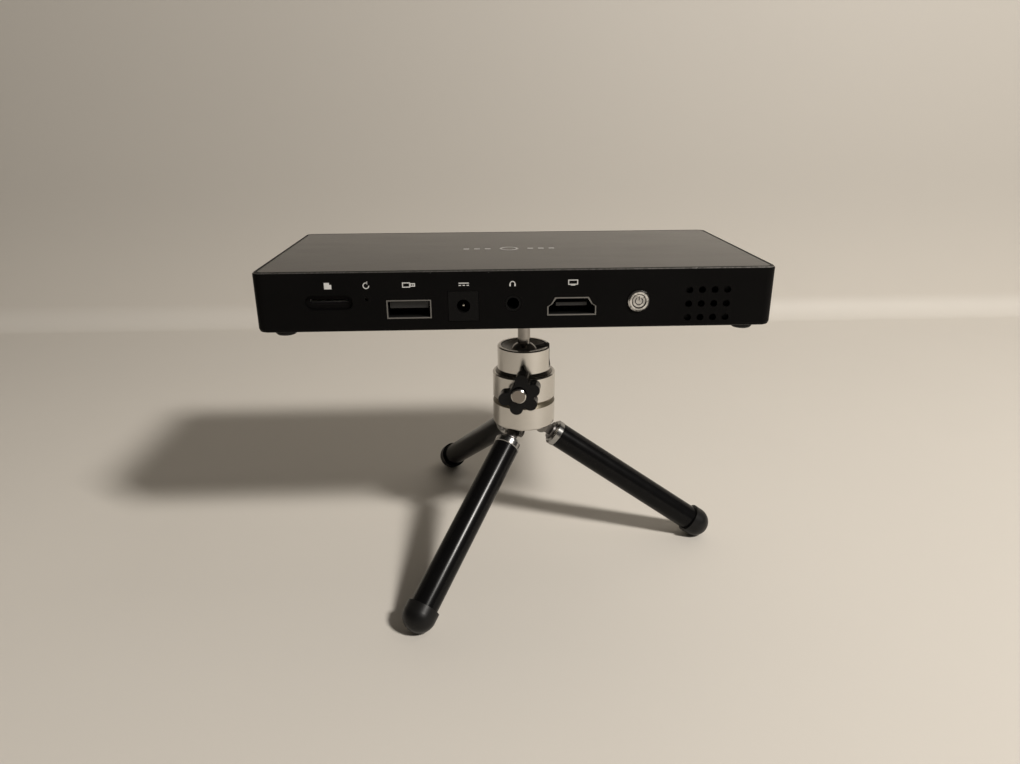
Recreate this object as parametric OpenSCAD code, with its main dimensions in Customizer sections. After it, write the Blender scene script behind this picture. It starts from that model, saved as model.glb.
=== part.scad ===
// Pocket projector on a mini ball-head tripod.
// Millimetres, +Z up. The origin is on the table, under the centre of the ball head.
// +X runs to the right along the row of ports, and the ports face -Y.

/* [Case] */
// Width of the case
case_w = 154; // [130:1:190]
// Depth of the case, from the ports to the lens
case_d = 75; // [68:1:95]
// Height of the case
case_h = 18; // [18:0.5:22]
// Radius of the four upright corners
case_r = 3; // [2:0.5:6]
// Thickness of the side walls
wall = 1.8; // [1.4:0.1:2.4]
// Width of the frame that shows round the top panel
rim = 1.2; // [0.9:0.1:2]
// Chamfer along the top edge
top_chamfer = 0.5; // [0.2:0.1:0.8]
// Rounding along the bottom edge
bottom_round = 1.1; // [0.4:0.1:1.1]
// Thickness of the top panel
top_t = 1.1; // [0.8:0.1:1.6]
// Thickness of the bottom cover
bottom_t = 1.2; // [1:0.1:1.4]
// Gap between a panel and the frame round it
panel_gap = 0.1; // [0.05:0.05:0.3]
// Distance of the tripod socket from the middle of the case, to the right
socket_x = 4.2; // [0:0.2:8]

/* [Case feet and screws] */
// Diameter of a rubber foot
pad_d = 6.5; // [5:0.5:8]
// Height of a rubber foot below the case
pad_h = 2; // [1:0.25:2.5]
// Distance of a foot's centre from the side of the case
pad_inset_x = 6.8; // [5:0.2:10]
// Distance of a foot's centre from the front or rear of the case
pad_inset_y = 7.2; // [5:0.2:12]
// Diameter of the case and board screws
screw_d = 2; // [1.6:0.1:2.5]
// Diameter of a screw's head
screw_head_d = 3.6; // [3:0.1:4.2]
// Clearance of a screw in its hole, on the radius
screw_gap = 0.05; // [0.02:0.01:0.1]

/* [Ports] */
// Height of the row of ports above the underside
port_z = 6.9; // [6.4:0.1:7.4]
// Gap between a port and its opening, on each side
port_gap = 0.12; // [0.05:0.01:0.3]
// Centre of the memory card slot
card_x = -55.2; // [-58:0.2:-52]
// Width of the memory card recess
card_w = 14; // [12.5:0.5:15]
// Height of the memory card recess
card_h = 4.4; // [3.5:0.1:5]
// Centre of the reset hole
reset_x = -44.2; // [-46:0.2:-42]
// Diameter of the reset hole
reset_d = 1.1; // [0.8:0.1:1.5]
// Centre of the USB port
usb_x = -32; // [-34:0.2:-30]
// Width of the USB shell
usb_w = 13.1; // [12.5:0.1:14]
// Height of the USB shell
usb_h = 5.6; // [5:0.1:6.4]
// Centre of the power inlet
dc_x = -16; // [-18:0.2:-14]
// Width of the power inlet's square body
dc_w = 8.9; // [8:0.1:9.5]
// Diameter of the power inlet's hole
dc_bore_d = 4; // [3.5:0.1:5.5]
// Diameter of the power inlet's centre pin
dc_pin_d = 1.3; // [1:0.1:2.1]
// Centre of the headphone socket
jack_x = -1.35; // [-3:0.1:0]
// Bore of the headphone socket
jack_bore_d = 3.6; // [3.5:0.05:3.8]
// Diameter of the headphone socket's nose
jack_nose_d = 4.6; // [4.4:0.1:6]
// Centre of the video input
hdmi_x = 16.1; // [14:0.1:18]
// Width of the video input's shell
hdmi_w = 14.6; // [14:0.1:15.5]
// Height of the video input's shell
hdmi_h = 5.5; // [5:0.1:6.2]
// Thickness of a port's sheet metal shell
shell_t = 0.35; // [0.25:0.05:0.5]

/* [Power button and speaker] */
// Centre of the power button
button_x = 36; // [32:0.2:40]
// Diameter of the power button
button_d = 6.5; // [5:0.1:8]
// How far the power button stands out of the case
button_proud = 0.8; // [0.6:0.1:1.5]
// Travel of the power button
button_travel = 0.4; // [0.2:0.1:0.5]
// Centre of the speaker grille
grille_x = 56.8; // [54:0.2:59]
// Diameter of a speaker hole
grille_d = 2.1; // [1.2:0.1:2.6]
// Distance between columns of speaker holes
grille_dx = 3.8; // [3.2:0.1:4.2]
// Distance between rows of speaker holes
grille_dz = 4.2; // [3:0.1:4.4]

/* [Lens] */
// Distance of the lens axis from the middle of the case
lens_x = 44; // [42:0.5:46]
// Diameter of the lens barrel
barrel_d = 12; // [10:0.5:13]
// Running clearance of the barrel in the engine housing, on the radius
barrel_gap = 0.06; // [0.02:0.01:0.1]
// Travel of the lens barrel, each way
focus_travel = 0.8; // [0.4:0.1:1]
// Radius of the focus wheel
wheel_r = 8; // [6:0.5:9]
// How far the focus wheel stands out of the case
wheel_proud = 0.8; // [0.4:0.1:1.2]

/* [Ball head] */
// Diameter of the lower base and of the ring above it
base_d = 22.4; // [19:0.1:28]
// Height from the underside of the base to the groove
base_h = 9.4; // [7:0.1:12]
// Height from the groove to the top of the ring
ring_h = 10.1; // [10:0.1:14]
// Depth of the groove
groove_depth = 0.55; // [0.2:0.05:1]
// Height of the groove
groove_h = 2; // [1:0.1:3]
// Diameter of the ball housing
housing_d = 18.9; // [17:0.1:19.5]
// Height of the ball housing above the ring
housing_h = 9.5; // [9.5:0.1:12]
// Diameter of the opening for the stud
mouth_d = 9.4; // [9:0.1:9.8]
// Width of the slot in the side of the housing
slot_w = 5.5; // [5:0.1:6]
// Direction of the slot, turned from +X
slot_turn = -7; // [-20:1:20]
// Diameter of the ball
ball_d = 12; // [11.5:0.1:12.5]
// Running clearance round the ball, on the radius
ball_gap = 0.05; // [0.02:0.01:0.1]
// Diameter of the stud's neck
neck_d = 4.4; // [3.8:0.1:4.8]
// Height of the gap between the ball head and the case
stud_gap = 16.2; // [12:0.2:20]
// Diameter of the stud's thread
thread_d = 6.35; // [6.35:0.01:6.35]
// Length of the stud's thread inside the case
thread_l = 5; // [4:0.1:5]
// Clearance of the stud in its socket, on the radius
thread_gap = 0.075; // [0.03:0.005:0.1]

/* [Lock knob] */
// Direction of the lock screw, turned from +X
lock_turn = -99; // [-130:1:-70]
// Depth of the lock screw below the top of the ring
lock_down = 3.2; // [3:0.1:3.6]
// Radius of the knob, to the tip of a lobe
knob_r = 7.4; // [6:0.1:9]
// Number of lobe places round the knob
knob_lobes = 6; // [5:1:8]
// Thickness of the knob
knob_t = 5; // [4:0.25:7]
// Diameter of the lock screw's shank
lock_d = 4; // [3:0.1:4.2]
// Diameter of the lock screw's outer end
lock_end_d = 5.2; // [4.6:0.1:5.6]
// Distance between turns of the lock screw's thread
lock_pitch = 0.8; // [0.5:0.05:1]
// Clearance of the lock screw in the ring, on the radius
lock_gap = 0.08; // [0.03:0.01:0.1]

/* [Legs] */
// Length of a leg from its hinge pin to the centre of its foot
leg_len = 72.5; // [55:0.5:110]
// Angle of a leg from upright when it is spread
leg_spread = 55.4; // [45:0.1:60]
// Direction of the first leg, turned from +X
leg_turn = -123.3; // [-180:0.1:180]
// Diameter of a leg tube
tube_d = 9.2; // [7:0.1:9.5]
// Wall of a leg tube
tube_wall = 0.8; // [0.6:0.1:1.5]
// Diameter of a leg's collar
collar_d = 9.6; // [8:0.1:10]
// Height of a leg's collar
collar_h = 2.8; // [2:0.1:5]
// Distance from the hinge pin to the collar
collar_start = 4.9; // [4.9:0.1:7]
// Diameter of a rubber foot cap
cap_d = 11; // [10:0.1:11]
// Height of a foot cap's straight skirt
cap_skirt = 2.8; // [2:0.1:8]
// Distance of a hinge pin from the tripod's centre
pin_circle_r = 6.5; // [6.5:0.1:8]
// Distance of a hinge pin below the base
pin_drop = 1.8; // [1.8:0.1:3]
// Diameter of a hinge pin
pin_d = 1.6; // [1.2:0.1:2]
// Running clearance of a leg on its pin, on the radius
pin_gap = 0.05; // [0.02:0.01:0.1]
// Thickness of a leg's tab
tab_t = 2.6; // [2:0.1:3]
// Clearance of the tab between its lugs, on each side
tab_gap = 0.15; // [0.1:0.05:0.3]
// Thickness of a lug
lug_t = 1.5; // [1.2:0.1:2]

/* [Hidden] */
$fn = 48;

// Overlap of a cutting tool past the face it cuts
cut = 1;

// Heights in the tripod, from the table up
cap_r = cap_d / 2;
pin_z = cap_r + leg_len * cos(leg_spread);
base_z = pin_z + pin_drop;
groove_z = base_z + base_h;
ring_z = groove_z + ring_h;
head_z = ring_z + housing_h;
case_z = head_z + stud_gap;
base_r = base_d / 2;
housing_r = housing_d / 2;

// The ball sits just under the lip of the mouth
ball_r = ball_d / 2;
dish_depth = 1.2;
lip_z = head_z - dish_depth;
ball_z = lip_z - sqrt(pow(ball_r + ball_gap, 2) - pow(mouth_d / 2, 2));

// The housing's spigot and the bore it screws into
spigot_d = 15.6;
spigot_l = 4;
fit_gap = 0.05;
cup_d = 12.8;
cup_r = cup_d / 2;

// The lock screw's cone works in a groove round the cup, at any turn of the cup
lock_z = ring_z - lock_down;
cup_groove = 1.6;
cup_z = lock_z - lock_d / 2 - 1;
cup_top = ring_z + 0.5;

// The lock screw, measured out from the tripod's centre
lock_in = cup_r - cup_groove + 0.4;
knob_in = base_r + 1.4;
knob_out = knob_in + knob_t;
lock_out = knob_out + 2 * lock_pitch;

// Inside of the case
front_y = -case_d / 2;
rear_y = case_d / 2;
inner_front = front_y + wall;
inner_rear = rear_y - wall;
inner_side = case_w / 2 - wall;
panel_z = case_h - top_t;
ceiling_z = panel_z - 0.2;
floor_z = bottom_t + 0.1;
boss_d = 5.2;
boss_at = [[-1, -1], [1, -1], [1, 1], [-1, 1]];
boss_x = inner_side - boss_d / 2 + 0.4;
boss_y = 18;

// Heights of the ports' middles, and how far back each port reaches
usb_z = port_z - 0.2;
dc_z = port_z + 0.5;
jack_z = port_z + 1.1;
card_z = port_z + 2.1;
reset_z = port_z + 3;
button_z = port_z + 1.4;
grille_z = port_z + 0.2;
port_y = front_y + 0.1;
usb_l = 14.4;
dc_l = 12.4;
jack_l = 13.9;
hdmi_l = 11.9;
jack_w = 6;
speaker_w = 15.2;
button_flange = 0.7;

// The main board lies at the middle of the ports
board_t = 1.2;
board_z = port_z + 0.3;
board_top = board_z + board_t;

// The card slot is a shallow recess with a narrow slit in front of the reader
card_web = 0.6;
card_edge = 1.4;
card_slit = [0.4, 1.5];

board_x0 = -inner_side + 11.2;
board_x1 = grille_x - speaker_w / 2 - 3.2;
board_y0 = inner_front + 0.5;
board_y1 = board_y0 + 29.4;
board_inset = 4;
board_screw_at = [[board_x0 + board_inset, board_y1 - 3.2], [jack_x - 2.65, board_y1 - 3.4],
                  [board_x1 - board_inset, board_y1 - 3.2],
                  [hdmi_x + hdmi_w / 2 + 2.6, board_y0 + 13.2]];
post_d = 4.6;

// The brass insert for the tripod's thread, in its boss
insert_d = 9.6;
insert_l = thread_l + 0.6;
insert_flange_d = 12.2;
insert_flange_t = 0.8;

// The optical engine and its neighbours
engine_w = 26;
engine_x0 = lens_x - engine_w / 2;
engine_y0 = board_y1 + 4.8;
engine_y1 = rear_y - 17.5;
engine_top = 14.5;
engine_wall = 2;
nose_l = 7;
lens_z = 8.6;
barrel_y0 = engine_y1 - 8;
barrel_y1 = rear_y - 1.6;
led_t = 1.6;
led_dome = 1;
led_back = led_t + led_dome;
chip_t = 2.4;
chip_w = 11;

// The focus wheel turns on a post and pushes a pin that stands in a pocket under it
wheel_x = lens_x + barrel_d / 2 + 1 + wheel_r;
wheel_y = rear_y + wheel_proud - wheel_r;
wheel_z = lens_z + 1.6;
wheel_t = 3;
wheel_bore_d = 2.1;
wheel_gap = 0.4;
wheel_half = sqrt(pow(wheel_r, 2) - pow(inner_rear - wheel_y, 2)) + wheel_gap;
pocket_r0 = 1.9;
pocket_r1 = wheel_r - 1.6;
focus_pin_d = 1.6;
focus_pin_at = [-(pocket_r0 + pocket_r1) / 2 * cos(38), -(pocket_r0 + pocket_r1) / 2 * sin(38)];
arm_y = wheel_y + focus_pin_at[1];
arm_w = 2.4;

// Cooling: the sink stands beside the mirror chip, and the fan blows through it
sink_w = 12;
sink_x0 = engine_x0 - chip_t - sink_w;
sink_y0 = engine_y0 + 4;
sink_y1 = rear_y - 4.5;
sink_fins = 6;
fin_t = 1.2;
fan_w = 24;
fan_h = 9;
fan_x = sink_x0 - 2 - fan_w / 2;
fan_y = insert_flange_d / 2 + 1.4 + fan_w / 2;
fan_z = bottom_t;
fan_wall = 1.2;
hub_gap = 0.5;
fan_shaft_d = 1.8;

// The battery fills the left of the case, behind the board
battery_x0 = -inner_side + 9.2;
battery_x1 = fan_x - fan_w / 2 - 6;
battery_y0 = board_y1 + 4.3;
battery_y1 = inner_rear - 3.2;
battery_h = 7.7;

// The remote control's window
ir_x = -44;
ir_z = 9;
ir_d = 4;

// ------------------------------------------------ shared shapes

// A slab with round upright corners, whose edge follows [inset, height] pairs from the bottom up
module slab(w, d, r, edge) {
    n = len(edge);
    for (turn = [0, 1]) {
        side = turn == 0 ? d / 2 : w / 2;
        run = turn == 0 ? w - 2 * r : d - 2 * r;
        rotate([90, 0, turn == 0 ? 90 : 0])
            linear_extrude(height = run, center = true)
                polygon(concat([for (p = edge) [side - p[0], p[1]]],
                               [for (i = [n - 1:-1:0]) [edge[i][0] - side, edge[i][1]]]));
    }
    for (sx = [-1, 1], sy = [-1, 1])
        translate([sx * (w / 2 - r), sy * (d / 2 - r), 0])
            rotate_extrude()
                polygon(concat([[0, edge[0][1]]], [for (p = edge) [r - p[0], p[1]]],
                               [[0, edge[n - 1][1]]]));
}

// A block from its low corner
module block(x0, x1, y0, y1, z0, z1) {
    translate([x0, y0, z0]) cube([x1 - x0, y1 - y0, z1 - z0]);
}

// A round bar along Y
module bar_y(x, y0, y1, z, d) {
    translate([x, y0, z]) rotate([-90, 0, 0]) cylinder(h = y1 - y0, d = d);
}

// Puts something drawn in the case's own frame on top of the stud
module in_case() {
    translate([-socket_x, 0, case_z]) children();
}

// Puts something drawn along +X from the lock screw's axis in place
module at_lock() {
    translate([0, 0, lock_z]) rotate([0, 0, lock_turn]) children();
}

// Puts something drawn along +X from a leg's hinge pin in place, spread
module at_leg(i) {
    rotate([0, 0, leg_turn + 120 * (i - 1)])
        translate([pin_circle_r, 0, pin_z])
            rotate([0, 90 - leg_spread, 0]) children();
}

// The outline of the video input, chamfered at its upper corners
module hdmi_outline(grow) {
    w = hdmi_w / 2 + grow;
    h = hdmi_h / 2 + grow;
    polygon([[-w, -h], [w, -h], [w, 0], [w - 1.1, 0.7], [w - 2.3, h],
             [2.3 - w, h], [1.1 - w, 0.7], [-w, 0]]);
}

// An upright outline swept back along +Y from a height and a place
module back_from(x, y0, y1, z) {
    translate([x, y1, z]) rotate([90, 0, 0]) linear_extrude(height = y1 - y0) children();
}

// ------------------------------------------------ case

module frame_outside() {
    slab(case_w, case_d, case_r,
         [[bottom_round, 0], [bottom_round * 0.3, bottom_round * 0.3], [0, bottom_round],
          [0, case_h - top_chamfer], [top_chamfer, case_h]]);
}

module plain_slab(inset, z0, z1) {
    slab(case_w - 2 * inset, case_d - 2 * inset, max(case_r - inset, 0.6), [[0, z0], [0, z1]]);
}

module port_openings() {
    y0 = front_y - cut;
    y1 = inner_front + cut;
    card_y = inner_front - card_web;
    for (s = [-1, 1]) bar_y(card_x + s * (card_w - card_h) / 2, y0, card_y, card_z, card_h);
    block(card_x - (card_w - card_h) / 2, card_x + (card_w - card_h) / 2, y0, card_y,
          card_z - card_h / 2, card_z + card_h / 2);
    block(card_x - card_w / 2 + card_edge, card_x + card_w / 2 - card_edge, y0, y1,
          board_top + card_slit[0], board_top + card_slit[1]);
    bar_y(reset_x, y0, y1, reset_z, reset_d);
    block(usb_x - usb_w / 2 - port_gap, usb_x + usb_w / 2 + port_gap, y0, y1,
          usb_z - usb_h / 2 - port_gap, usb_z + usb_h / 2 + port_gap);
    block(dc_x - dc_w / 2 - port_gap, dc_x + dc_w / 2 + port_gap, y0, y1,
          dc_z - dc_w / 2 - port_gap, dc_z + dc_w / 2 + port_gap);
    bar_y(jack_x, y0, y1, jack_z, jack_nose_d + 2 * port_gap);
    back_from(hdmi_x, y0, y1, port_z) hdmi_outline(port_gap);
    bar_y(button_x, y0, y1, button_z, button_d + 2 * port_gap);
    for (i = [-1.5:1:1.5], k = [-1:1:1])
        bar_y(grille_x + i * grille_dx, y0, y1, grille_z + k * grille_dz, grille_d);
}

// Slots of a vent, from a place along X and with a pitch
vent_w = 1.6;
vent_pitch = 3.4;

module rear_openings() {
    y0 = inner_rear - cut;
    y1 = rear_y + cut;
    bar_y(lens_x, y0, y1, lens_z, barrel_d + 1.6);
    block(wheel_x - wheel_half, wheel_x + wheel_half, y0, y1,
          wheel_z - wheel_gap, wheel_z + wheel_t + wheel_gap);
    bar_y(ir_x, y0, y1, ir_z, ir_d);
    for (i = [0:9]) {
        x = fan_x - 10 + i * vent_pitch;
        block(x, x + vent_w, y0, y1, 4, 14);
    }
}

module side_openings() {
    for (s = [-1, 1], i = [-3:1:3])
        block(s * (inner_side + wall / 2) - wall, s * (inner_side + wall / 2) + wall,
              i * vent_pitch - vent_w / 2, i * vent_pitch + vent_w / 2, 5, 13);
}

module middle_frame() color([0.05, 0.05, 0.055]) in_case() {
    difference() {
        frame_outside();
        plain_slab(wall, -cut, case_h + cut);
        plain_slab(rim, panel_z, case_h + cut);
        plain_slab(rim + 0.2, -cut, bottom_t);
        port_openings();
        rear_openings();
        side_openings();
    }
    for (s = boss_at)
        difference() {
            translate([s[0] * boss_x, s[1] * boss_y, floor_z])
                cylinder(h = ceiling_z - floor_z, d = boss_d);
            translate([s[0] * boss_x, s[1] * boss_y, floor_z - cut])
                cylinder(h = 9 + cut, d = screw_d + 2 * screw_gap);
        }
}

module top_panel() color([0.09, 0.085, 0.08]) in_case()
    slab(case_w - 2 * (rim + panel_gap), case_d - 2 * (rim + panel_gap), case_r - rim,
         [[0, panel_z], [0, case_h - 0.15], [0.15, case_h]]);

// Depth of the recess that holds a rubber foot, and of the one that holds a screw's head
pad_recess = 0.4;
head_recess = 0.7;

module bottom_cover() color([0.06, 0.06, 0.065]) in_case() {
    difference() {
        union() {
            slab(case_w - 2 * (rim + 0.2 + panel_gap), case_d - 2 * (rim + 0.2 + panel_gap),
                 case_r - rim - 0.2, [[0.3, 0], [0, 0.3], [0, bottom_t]]);
            for (p = board_screw_at)
                translate([p[0], p[1], 0]) cylinder(h = board_z, d = post_d);
            translate([socket_x, 0, 0]) cylinder(h = insert_l, d = insert_flange_d + 0.2);
            // The post that the focus wheel turns on, with a shoulder under the wheel
            translate([wheel_x, wheel_y, 0]) {
                cylinder(h = wheel_z - 0.1, d = 2 * pocket_r0 - 0.2);
                cylinder(h = wheel_z + wheel_t, d = wheel_bore_d - 0.1);
            }
        }
        translate([socket_x, 0, -cut])
            cylinder(h = case_h, d = insert_d + 2 * fit_gap);
        for (s = boss_at)
            translate([s[0] * boss_x, s[1] * boss_y, -cut]) {
                cylinder(h = case_h, d = screw_d + 0.4);
                cylinder(h = cut + head_recess, d = screw_head_d + 0.4);
            }
        for (p = board_screw_at)
            translate([p[0], p[1], 2]) cylinder(h = case_h, d = screw_d + 2 * screw_gap);
        for (i = [-3:1:3])
            block(fan_x - 9, fan_x + 9, fan_y + i * 3 - 0.7, fan_y + i * 3 + 0.7, -cut, bottom_t + cut);
        for (s = boss_at)
            translate([s[0] * (case_w / 2 - pad_inset_x), s[1] * (case_d / 2 - pad_inset_y), -cut])
                cylinder(h = cut + pad_recess, d = pad_d + 0.2);
    }
}

module tripod_insert() color([0.75, 0.66, 0.4]) in_case()
    translate([socket_x, 0, 0])
        difference() {
            union() {
                cylinder(h = insert_l, d = insert_d);
                translate([0, 0, insert_l]) cylinder(h = insert_flange_t, d = insert_flange_d);
            }
            translate([0, 0, -cut])
                cylinder(h = insert_l + 0.1 + cut, d = thread_d + 2 * thread_gap);
        }

module case_foot(i) color([0.05, 0.05, 0.05]) in_case() {
    s = boss_at[i - 1];
    translate([s[0] * (case_w / 2 - pad_inset_x), s[1] * (case_d / 2 - pad_inset_y), 0])
        rotate_extrude()
            polygon([[0, pad_recess], [pad_d / 2, pad_recess], [pad_d / 2, 0.5 - pad_h],
                     [pad_d / 2 - 0.5, -pad_h], [0, -pad_h]]);
}

// A pan-head screw, its head's underside at height 0 and its shank going down
module screw(shank) {
    difference() {
        union() {
            translate([0, 0, -shank]) cylinder(h = shank, d = screw_d);
            cylinder(h = head_recess, d = screw_head_d);
        }
        for (a = [0, 90])
            rotate([0, 0, a]) translate([-0.9, -0.2, 0.3]) cube([1.8, 0.4, 1]);
    }
}

module cover_screws() color([0.2, 0.2, 0.2]) in_case()
    for (s = boss_at)
        translate([s[0] * boss_x, s[1] * boss_y, head_recess]) rotate([180, 0, 0]) screw(7);

// ------------------------------------------------ main board and ports

// A notch in the board's front edge, as wide as what stands in it
module notch(x, w, y1) {
    block(x - w / 2, x + w / 2, board_y0 - cut, y1, board_z - cut, board_top + cut);
}

module main_board() color([0.05, 0.25, 0.14]) in_case()
    difference() {
        block(board_x0, board_x1, board_y0, board_y1, board_z, board_top);
        notch(usb_x, usb_w, port_y + usb_l + port_gap);
        notch(dc_x, dc_w, port_y + dc_l + port_gap);
        notch(jack_x, jack_w, port_y + jack_l + port_gap);
        notch(hdmi_x, hdmi_w, port_y + hdmi_l + port_gap);
        notch(button_x, button_d + 2 * button_flange + 1, inner_front + 2);
        for (p = board_screw_at)
            translate([p[0], p[1], 0]) cylinder(h = case_h, d = screw_d + 0.4);
    }

module board_screws() color([0.6, 0.6, 0.6]) in_case()
    for (p = board_screw_at)
        translate([p[0], p[1], board_top]) screw(5);

module card_reader() color([0.7, 0.7, 0.7]) in_case()
    difference() {
        block(card_x - card_w / 2, card_x + card_w / 2, inner_front + 0.3, inner_front + 15,
              board_top, board_top + 1.9);
        block(card_x - card_w / 2 + card_edge, card_x + card_w / 2 - card_edge,
              inner_front, inner_front + 13.5, board_top + 0.55, board_top + 1.35);
    }

plunger_d = 1.5;

module reset_switch() color([0.1, 0.1, 0.1]) in_case()
    difference() {
        block(reset_x - 2.2, reset_x + 2.2, inner_front + 1, inner_front + 4.4, board_top, board_top + 3.2);
        bar_y(reset_x, inner_front, inner_front + 3, reset_z, plunger_d + 2 * fit_gap);
    }

module reset_plunger() color([0.75, 0.7, 0.6]) in_case()
    bar_y(reset_x, inner_front + 0.4, inner_front + 2.5, reset_z, plunger_d);

module usb_shell() color([0.75, 0.75, 0.75]) in_case()
    difference() {
        block(usb_x - usb_w / 2, usb_x + usb_w / 2, port_y, port_y + usb_l,
              usb_z - usb_h / 2, usb_z + usb_h / 2);
        block(usb_x - usb_w / 2 + shell_t, usb_x + usb_w / 2 - shell_t, front_y - cut, port_y + usb_l - 1,
              usb_z - usb_h / 2 + shell_t, usb_z + usb_h / 2 - shell_t);
    }

// A tongue from a depth behind the front to a port's rear wall, with a row of contacts under it
module tongue(x, half, y0, y1, z0, z1, contacts, pitch, contact_w) {
    block(x - half, x + half, y0, y1, z0, z1);
    for (i = [0:contacts - 1]) {
        c = x + (i - (contacts - 1) / 2) * pitch;
        block(c - contact_w / 2, c + contact_w / 2, y0 + 0.6, y1 - 2, z0 - 0.12, z0);
    }
}

module usb_tongue() color([0.08, 0.08, 0.08]) in_case()
    tongue(usb_x, usb_w / 2 - 0.95, front_y + 1.3, port_y + usb_l - 1, usb_z + 0.15, usb_z + 1.95,
           4, 2.3, 1);

module dc_jack() color([0.06, 0.06, 0.06]) in_case()
    difference() {
        block(dc_x - dc_w / 2, dc_x + dc_w / 2, port_y, port_y + dc_l, dc_z - dc_w / 2, dc_z + dc_w / 2);
        bar_y(dc_x, front_y - cut, port_y + dc_l - 2, dc_z, dc_bore_d);
    }

module dc_pin() color([0.85, 0.8, 0.65]) in_case() {
    bar_y(dc_x, front_y + 2, port_y + dc_l - 2, dc_z, dc_pin_d);
    translate([dc_x, front_y + 2, dc_z]) sphere(d = dc_pin_d);
}

module headphone_jack() color([0.07, 0.07, 0.07]) in_case()
    difference() {
        union() {
            bar_y(jack_x, port_y, inner_front + 1, jack_z, jack_nose_d);
            block(jack_x - jack_w / 2, jack_x + jack_w / 2, inner_front + 0.4, port_y + jack_l,
                  jack_z - 2.8, jack_z + 2.8);
        }
        bar_y(jack_x, front_y - cut, port_y + 12, jack_z, jack_bore_d);
    }

module hdmi_shell() color([0.75, 0.75, 0.75]) in_case()
    difference() {
        back_from(hdmi_x, port_y, port_y + hdmi_l, port_z) hdmi_outline(0);
        back_from(hdmi_x, front_y - cut, port_y + hdmi_l - 0.8, port_z) hdmi_outline(-shell_t);
    }

module hdmi_tongue() color([0.08, 0.08, 0.08]) in_case()
    tongue(hdmi_x, hdmi_w / 2 - 2.7, front_y + 1.6, port_y + hdmi_l - 0.8, port_z - 0.1, port_z + 0.9,
           9, 1, 0.44);

// ------------------------------------------------ button, speaker and battery

module power_button() color([0.8, 0.8, 0.8]) in_case()
    translate([button_x, front_y, button_z]) rotate([-90, 0, 0])
        rotate_extrude()
            polygon([[0, 0.25 - button_proud], [button_d * 0.3, 0.25 - button_proud],
                     [button_d * 0.34, -button_proud], [button_d / 2 - 0.4, -button_proud],
                     [button_d / 2, 0.4 - button_proud], [button_d / 2, wall + 0.3],
                     [button_d / 2 + button_flange, wall + 0.3], [button_d / 2 + button_flange, wall + 1],
                     [1, wall + 1], [1, wall + 1.6], [0, wall + 1.6]]);

module power_switch() color([0.12, 0.12, 0.12]) in_case() {
    y = inner_front + 1.6 + button_travel + 0.1;
    block(button_x - 3, button_x + 3, y, y + 3.4, board_top, button_z + 3);
}

module speaker() color([0.15, 0.15, 0.15]) in_case()
    difference() {
        block(grille_x - speaker_w / 2, grille_x + speaker_w / 2, inner_front, inner_front + 10,
              bottom_t, grille_z + 6.8);
        translate([grille_x, inner_front - 0.1, grille_z]) rotate([-90, 0, 0])
            cylinder(h = 3.2, d1 = speaker_w - 1.4, d2 = 5);
    }

module battery() color([0.55, 0.57, 0.6]) in_case()
    translate([(battery_x0 + battery_x1) / 2, (battery_y0 + battery_y1) / 2, bottom_t])
        slab(battery_x1 - battery_x0, battery_y1 - battery_y0, 2,
             [[0.4, 0], [0, 0.4], [0, battery_h - 0.4], [0.4, battery_h]]);

// ------------------------------------------------ optical engine

module engine_housing() color([0.2, 0.2, 0.21]) in_case()
    difference() {
        union() {
            block(engine_x0, engine_x0 + engine_w, engine_y0, engine_y1, bottom_t, engine_top);
            bar_y(lens_x, engine_y1 - 1, engine_y1 + nose_l, lens_z, barrel_d + 2.6);
        }
        block(engine_x0 + engine_wall, engine_x0 + engine_w - engine_wall,
              engine_y0 + engine_wall, barrel_y0 - engine_wall,
              bottom_t + engine_wall, engine_top - engine_wall);
        bar_y(lens_x, barrel_y0 - 3, engine_y1 + nose_l + cut, lens_z, barrel_d + 2 * barrel_gap);
        // Room for the arm to travel
        block(lens_x, lens_x + engine_w, arm_y - arm_w / 2 - focus_travel - 0.5, engine_y1 + nose_l + cut,
              lens_z - 1.4, lens_z + 1.4);
    }

module lens_barrel() color([0.1, 0.1, 0.1]) in_case() {
    difference() {
        bar_y(lens_x, barrel_y0, barrel_y1, lens_z, barrel_d);
        bar_y(lens_x, barrel_y0 - cut, barrel_y1 + cut, lens_z, barrel_d - 3);
        bar_y(lens_x, barrel_y1 - 2.6, barrel_y1 + cut, lens_z, barrel_d - 2);
        bar_y(lens_x, barrel_y0 - cut, barrel_y0 + 2.4, lens_z, barrel_d - 2);
    }
    // The arm that the focus wheel pushes, with its pin
    pin_x = wheel_x + focus_pin_at[0];
    difference() {
        block(lens_x + barrel_d / 2 - 0.8, pin_x + 1, arm_y - arm_w / 2, arm_y + arm_w / 2,
              lens_z - 0.9, lens_z + 0.9);
        bar_y(lens_x, arm_y - arm_w, arm_y + arm_w, lens_z, barrel_d - 1);
    }
    translate([pin_x, arm_y, lens_z]) cylinder(h = wheel_z - lens_z + 1.2, d = focus_pin_d);
}

module lens_front() color([0.5, 0.6, 0.7]) in_case()
    translate([lens_x, barrel_y1 - 0.5, lens_z]) rotate([90, 0, 0])
        intersection() {
            cylinder(h = 2.1, d = barrel_d - 2);
            translate([0, 0, 12.2]) sphere(r = 12.2, $fn = 96);
        }

module lens_rear() color([0.5, 0.6, 0.7]) in_case()
    translate([lens_x, barrel_y0 + 0.4, lens_z]) rotate([-90, 0, 0])
        intersection() {
            cylinder(h = 2, d = barrel_d - 2);
            translate([0, 0, 14]) sphere(r = 14, $fn = 96);
        }

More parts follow.
